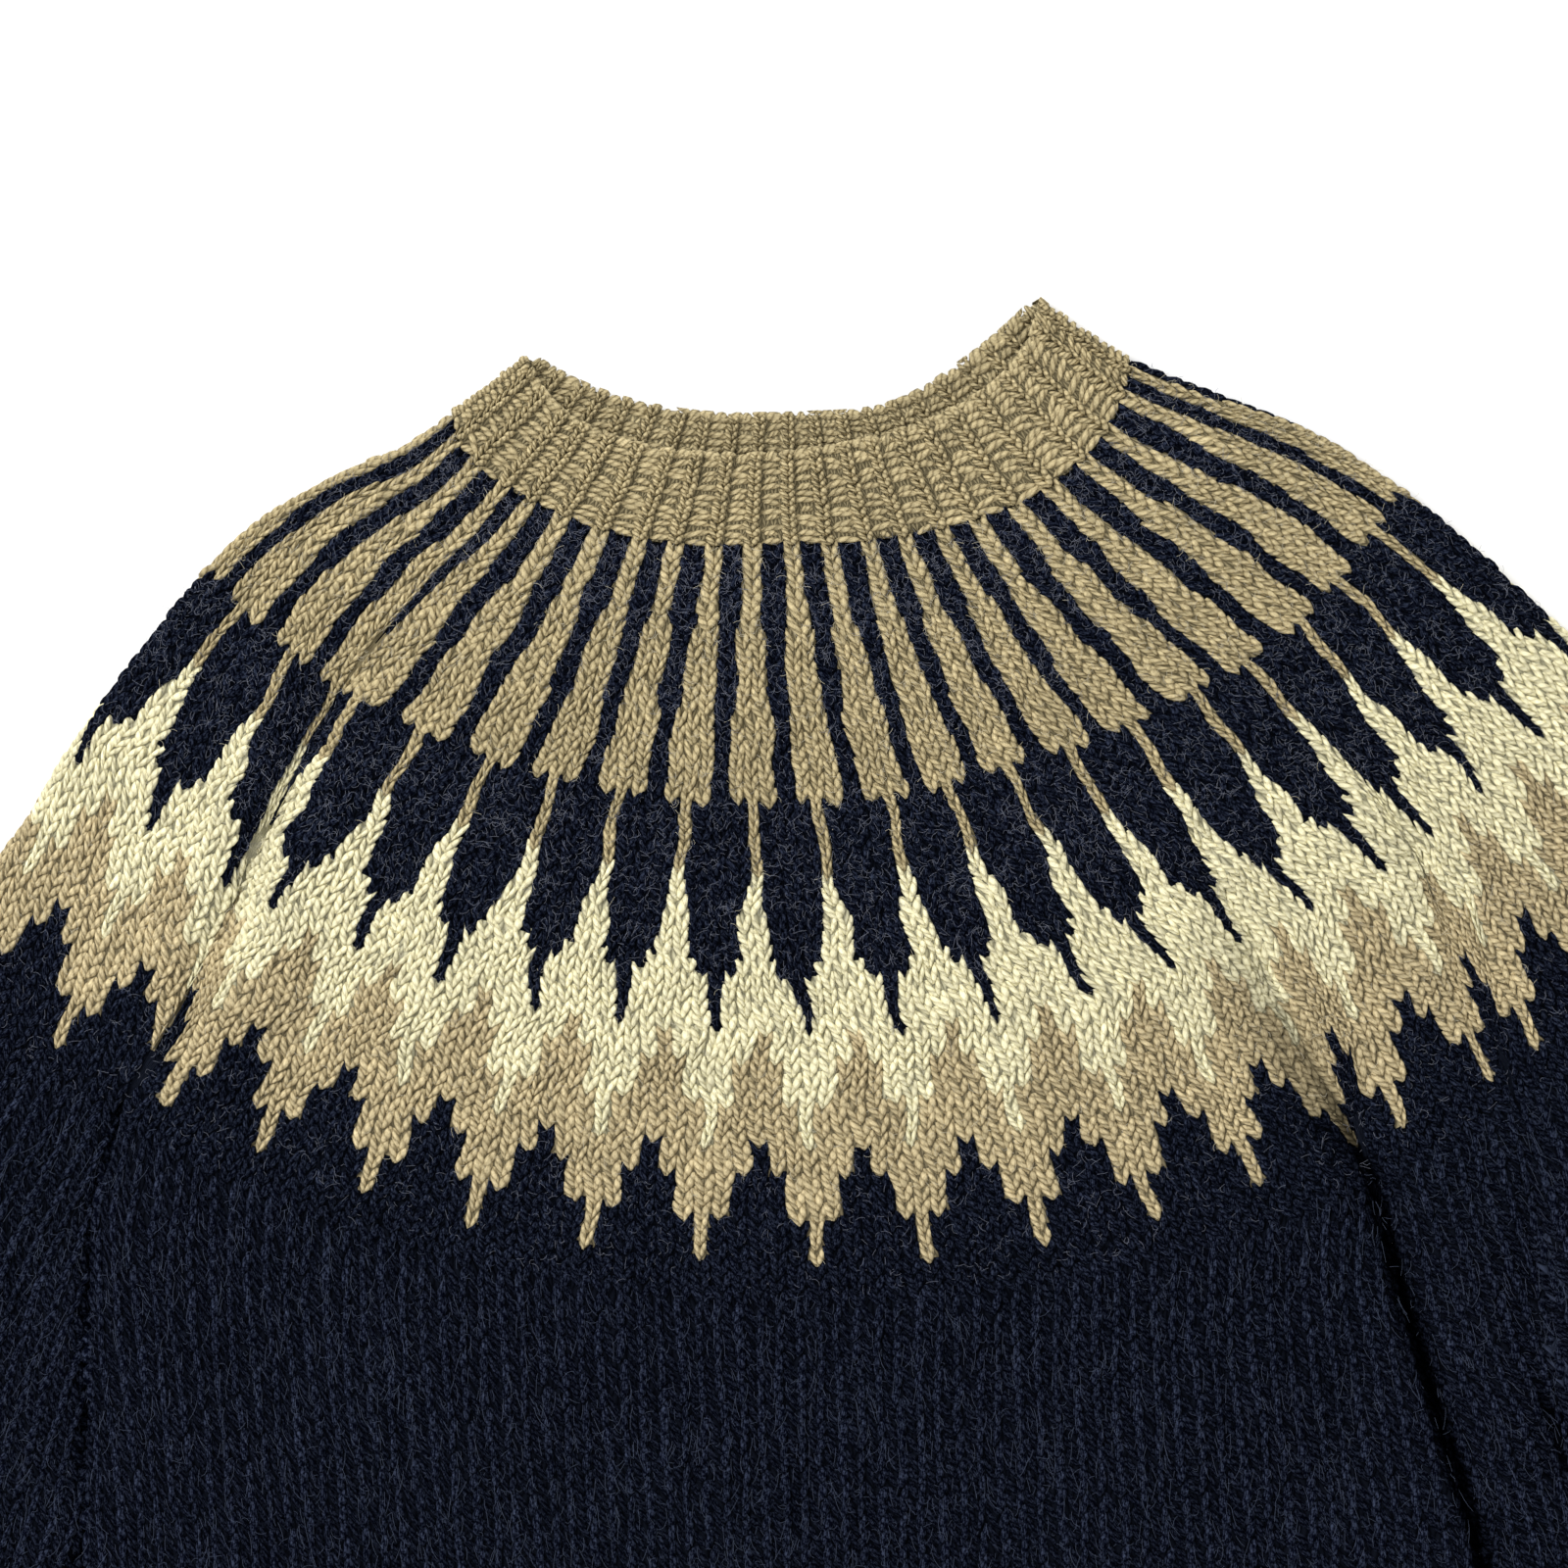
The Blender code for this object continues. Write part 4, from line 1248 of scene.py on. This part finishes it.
# Loose fibres, as ribbons: how many on the yoke and on so many columns of a tube, their colours, how long,
# wide and bent they are, how they climb and sag, and how they thin out low on the yoke
fuzz = {
    "navy": {"count": 14500, "colour": (0.145, 0.155, 0.195)},
    "pale": {"count": 4500, "colour": (0.52, 0.48, 0.37)},
    "tubes": {"count": 5200, "columns": 80, "rounds": 34.0, "colour": (0.062, 0.076, 0.115)},
    "length": (1.8, 4.6),
    "width": 0.085,
    "drawnShare": 0.6,
    "drawnTurn": 0.22,
    "drawnLength": 1.9,
    "steps": 3,
    "bend": 1.8,
    "drawnBend": 0.3,
    "root": 1.4,
    "climb": 0.25,
    "climbSpread": 0.30,
    "sag": 0.18,
    "lowLoss": 0.7,
    "lowFrom": 0.7,
    "rays": 22.3,
    "room": 0.2,
    "seenFrom": 0.2,
}


# Loose fibres that stand off the places (u, v) of a spot, as thin ribbons. A share of them is drawn along the
# columns of stitches.
def buildFuzz(name, spot, u, v, material, drawnShare=0.0):
    keep = onTop(spot, u, v, fuzz["seenFrom"])
    u, v = u[keep], v[keep]
    count = len(u)
    heading, bend = rng.uniform(0.0, 2.0 * math.pi, count), rng.normal(0.0, fuzz["bend"], count)
    length = rng.uniform(*fuzz["length"], count)
    drawn = rng.random(count) < drawnShare
    run = spot(u, v + 0.5) - spot(u, v - 0.5)
    along = np.arctan2(run[:, 1], run[:, 0]) + rng.normal(0.0, fuzz["drawnTurn"], count)
    heading = np.where(drawn, along, heading)
    bend = np.where(drawn, fuzz["drawnBend"] * bend, bend)
    length = np.where(drawn, fuzz["drawnLength"] * length, length)
    steps = fuzz["steps"]
    points = [spot(u, v) + np.array([0.0, 0.0, fuzz["root"]])]
    for k in range(steps):
        climb = rng.normal(fuzz["climb"], fuzz["climbSpread"], count) - fuzz["sag"] * k
        onward = np.stack([np.cos(heading), np.sin(heading), climb], -1)
        points.append(points[-1] + onward * (length / steps)[:, None])
        heading = heading + bend / steps
    centre = np.stack(points, 1)
    side = np.cross(np.gradient(centre, axis=1), np.array([0.0, 0.0, 1.0]))
    side *= fuzz["width"] / 2.0 / np.maximum(np.linalg.norm(side, axis=-1, keepdims=True), 1e-9)
    verts = np.stack([centre - side, centre + side], 2)
    verts[..., 2] = np.maximum(verts[..., 2], layer["floorGap"])
    r = np.arange(steps)
    cell = np.stack([2 * r, 2 * r + 2, 2 * r + 3, 2 * r + 1], -1)
    quads = np.arange(count)[:, None, None] * (steps + 1) * 2 + cell[None]
    return meshPiece(name + "_fuzz", verts, quads, material, None)


# Fibres of the yoke's navy wool, and of its pale wools
def fuzzYoke(made):
    for name, slot in (("navy", "navy_wool"), ("pale", "yoke_wool")):
        count = 2 * fuzz[name]["count"]
        u, v = rng.uniform(0.0, fuzz["rays"], count), rng.uniform(0.0, yoke["rows"], count)
        mine = (yarnAt(u, v.astype(int)) == yarnNames.index("navy")) == (name == "navy")
        low = smooth((v / yoke["rows"] - fuzz["lowFrom"]) / (1.0 - fuzz["lowFrom"]))
        mine &= rng.random(count) > fuzz["lowLoss"] * low
        mine = np.flatnonzero(mine & inSight(u, v, fuzz["room"]))[:fuzz[name]["count"]]
        u, v = u[mine], v[mine]
        material = newMaterial(name + "Fuzz", fuzz[name]["colour"])[0]
        made["yoke"][2].append(buildFuzz("yoke_" + name, yokeSpot, u, v, material))


def fuzzTubes(made):
    material = newMaterial("tubeFuzz", fuzz["tubes"]["colour"])[0]
    for label, rows, stitch in (
        ("body", body["rows"], body["stitch"]),
        ("sleeve_left", sleeves["leftRows"], sleeves["stitch"]),
        ("sleeve_right", sleeves["rightRows"], sleeves["stitch"]),
    ):
        spot, columns = tubeSpot(made[label][0], rows, stitch)
        count = fuzz["tubes"]["count"] * columns // fuzz["tubes"]["columns"]
        u, v = rng.uniform(-0.5, 0.5, count) * columns, rng.uniform(0.0, fuzz["tubes"]["rounds"], count)
        made[label][2].append(buildFuzz(label, spot, u, v, material, fuzz["drawnShare"]))


# A tube laid open flat: its width all round, its length, and its cut in square metres
def flatCut(front):
    turns = (2.0 * math.pi - 4.0) * half
    rounds = [2.0 * roundLength(front, s) + turns for s in np.linspace(0.0, 1.0, samples["rounds"])]
    rounds = np.array(rounds)
    across, along = np.linspace(-1.0, 1.0, samples["planAcross"]), np.linspace(0.0, 1.0, samples["planAlong"])
    t, s = np.meshgrid(across, along)
    plan = np.stack(front(t, s), -1)
    a, b = plan[1:, 1:] - plan[:-1, :-1], plan[1:, :-1] - plan[:-1, 1:]
    layers = np.abs(a[..., 0] * b[..., 1] - a[..., 1] * b[..., 0]).sum()
    length = layers / (rounds.mean() - turns)
    return rounds.max() * 0.001, length * 0.001, rounds.mean() * length * 1e-6


# A white studio world with a soft key from the upper left and a weak fill, turned in degrees about x and y
light = {
    "world": 0.70,
    "lamps": (
        {"name": "key", "watts": 48.0, "size": 1.4, "place": (-1.1, 1.2, 1.6), "turn": (-38.0, -34.0)},
        {"name": "fill", "watts": 10.0, "size": 2.2, "place": (1.3, -0.9, 1.9), "turn": (27.0, 34.0)},
    ),
}


def setLights(scene):
    scene.world = scene.world or bpy.data.worlds.new("world")
    scene.world.use_nodes = True
    background = scene.world.node_tree.nodes["Background"]
    background.inputs[0].default_value = (1.0, 1.0, 1.0, 1.0)
    background.inputs[1].default_value = light["world"]
    for row in light["lamps"]:
        lamp = bpy.data.lights.new(row["name"], "AREA")
        lamp.energy = row["watts"]
        lamp.size = row["size"]
        holder = bpy.data.objects.new(row["name"], lamp)
        holder.location = row["place"]
        holder.rotation_euler = (*(math.radians(turn) for turn in row["turn"]), 0.0)
        bpy.context.collection.objects.link(holder)


# The camera looks straight down on a point of the cloth, and sees this many millimetres across
camera = {"look": (27.07, 198.2), "wide": 551.7, "lens": 100.0, "sensor": 36.0, "clothZ": 9.5}


def setCamera(scene):
    view = bpy.data.cameras.new("camera")
    view.lens = camera["lens"]
    view.sensor_width = camera["sensor"]
    distance = camera["wide"] * camera["lens"] / view.sensor_width
    eye = bpy.data.objects.new("camera", view)
    eye.location = [0.001 * value for value in (*camera["look"], distance + camera["clothZ"])]
    bpy.context.collection.objects.link(eye)
    scene.camera = eye
    scene.view_settings.view_transform = "Standard"


# The floor of the cut-out photo, just under the cloth
floorLook = {"size": 6.0, "z": -0.0004, "colour": (0.93, 0.93, 0.93)}


def makeFloor():
    material = newMaterial("paleFloor", floorLook["colour"])[0]
    bpy.ops.mesh.primitive_plane_add(size=floorLook["size"], location=(0.0, 0.0, floorLook["z"]))
    floor = bpy.context.object
    floor.name = "floor"
    floor.data.materials.append(material)
    floor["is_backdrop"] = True
    return floor


def main():
    woolNodes = woolGroup()
    materials = {name: yarnMaterial(name, woolNodes) for name in yarns}
    materials["cloth"] = clothMaterial(grainGroup())
    floor = makeFloor()

    made = {"yoke": (yokeFront, *buildYoke(materials))}
    made["neckband"] = (neckFront, *buildNeck(materials))
    print("yoke and neckband made")
    made["body"] = (bodyPlan, *buildTube("body", bodyPlan, body["rows"], body["stitch"], materials))
    for label, plan, table, rows in (
        ("left", leftPlan, leftSleeve, sleeves["leftRows"]),
        ("right", rightPlan, rightSleeve, sleeves["rightRows"]),
    ):
        tube = buildTube("sleeve_" + label, plan, rows, sleeves["stitch"], materials)
        made["sleeve_" + label] = (plan, *tube)
        band = cuffPlan(table)
        made["cuff_" + label] = (band, *buildRib("cuff_" + label, band, cuff["rows"], cuff["rib"], materials))
    made["hem_rib"] = (hemPlan, *buildRib("hem_rib", hemPlan, hem["rows"], hem["rib"], materials))
    print("tubes and ribs made")
    fuzzYoke(made)
    fuzzTubes(made)
    print("fuzz made")

    for label, (plan, base, pieces) in made.items():
        wide, long, cut = flatCut(plan)
        print(label, "flat", round(wide, 3), round(long, 3), "cut", round(cut, 4))

    scene = bpy.context.scene
    setLights(scene)
    setCamera(scene)
    sizes = {piece.name: sum(len(face.vertices) - 2 for face in piece.data.polygons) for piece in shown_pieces()}
    print("triangles", sum(sizes.values()), sizes)


main()
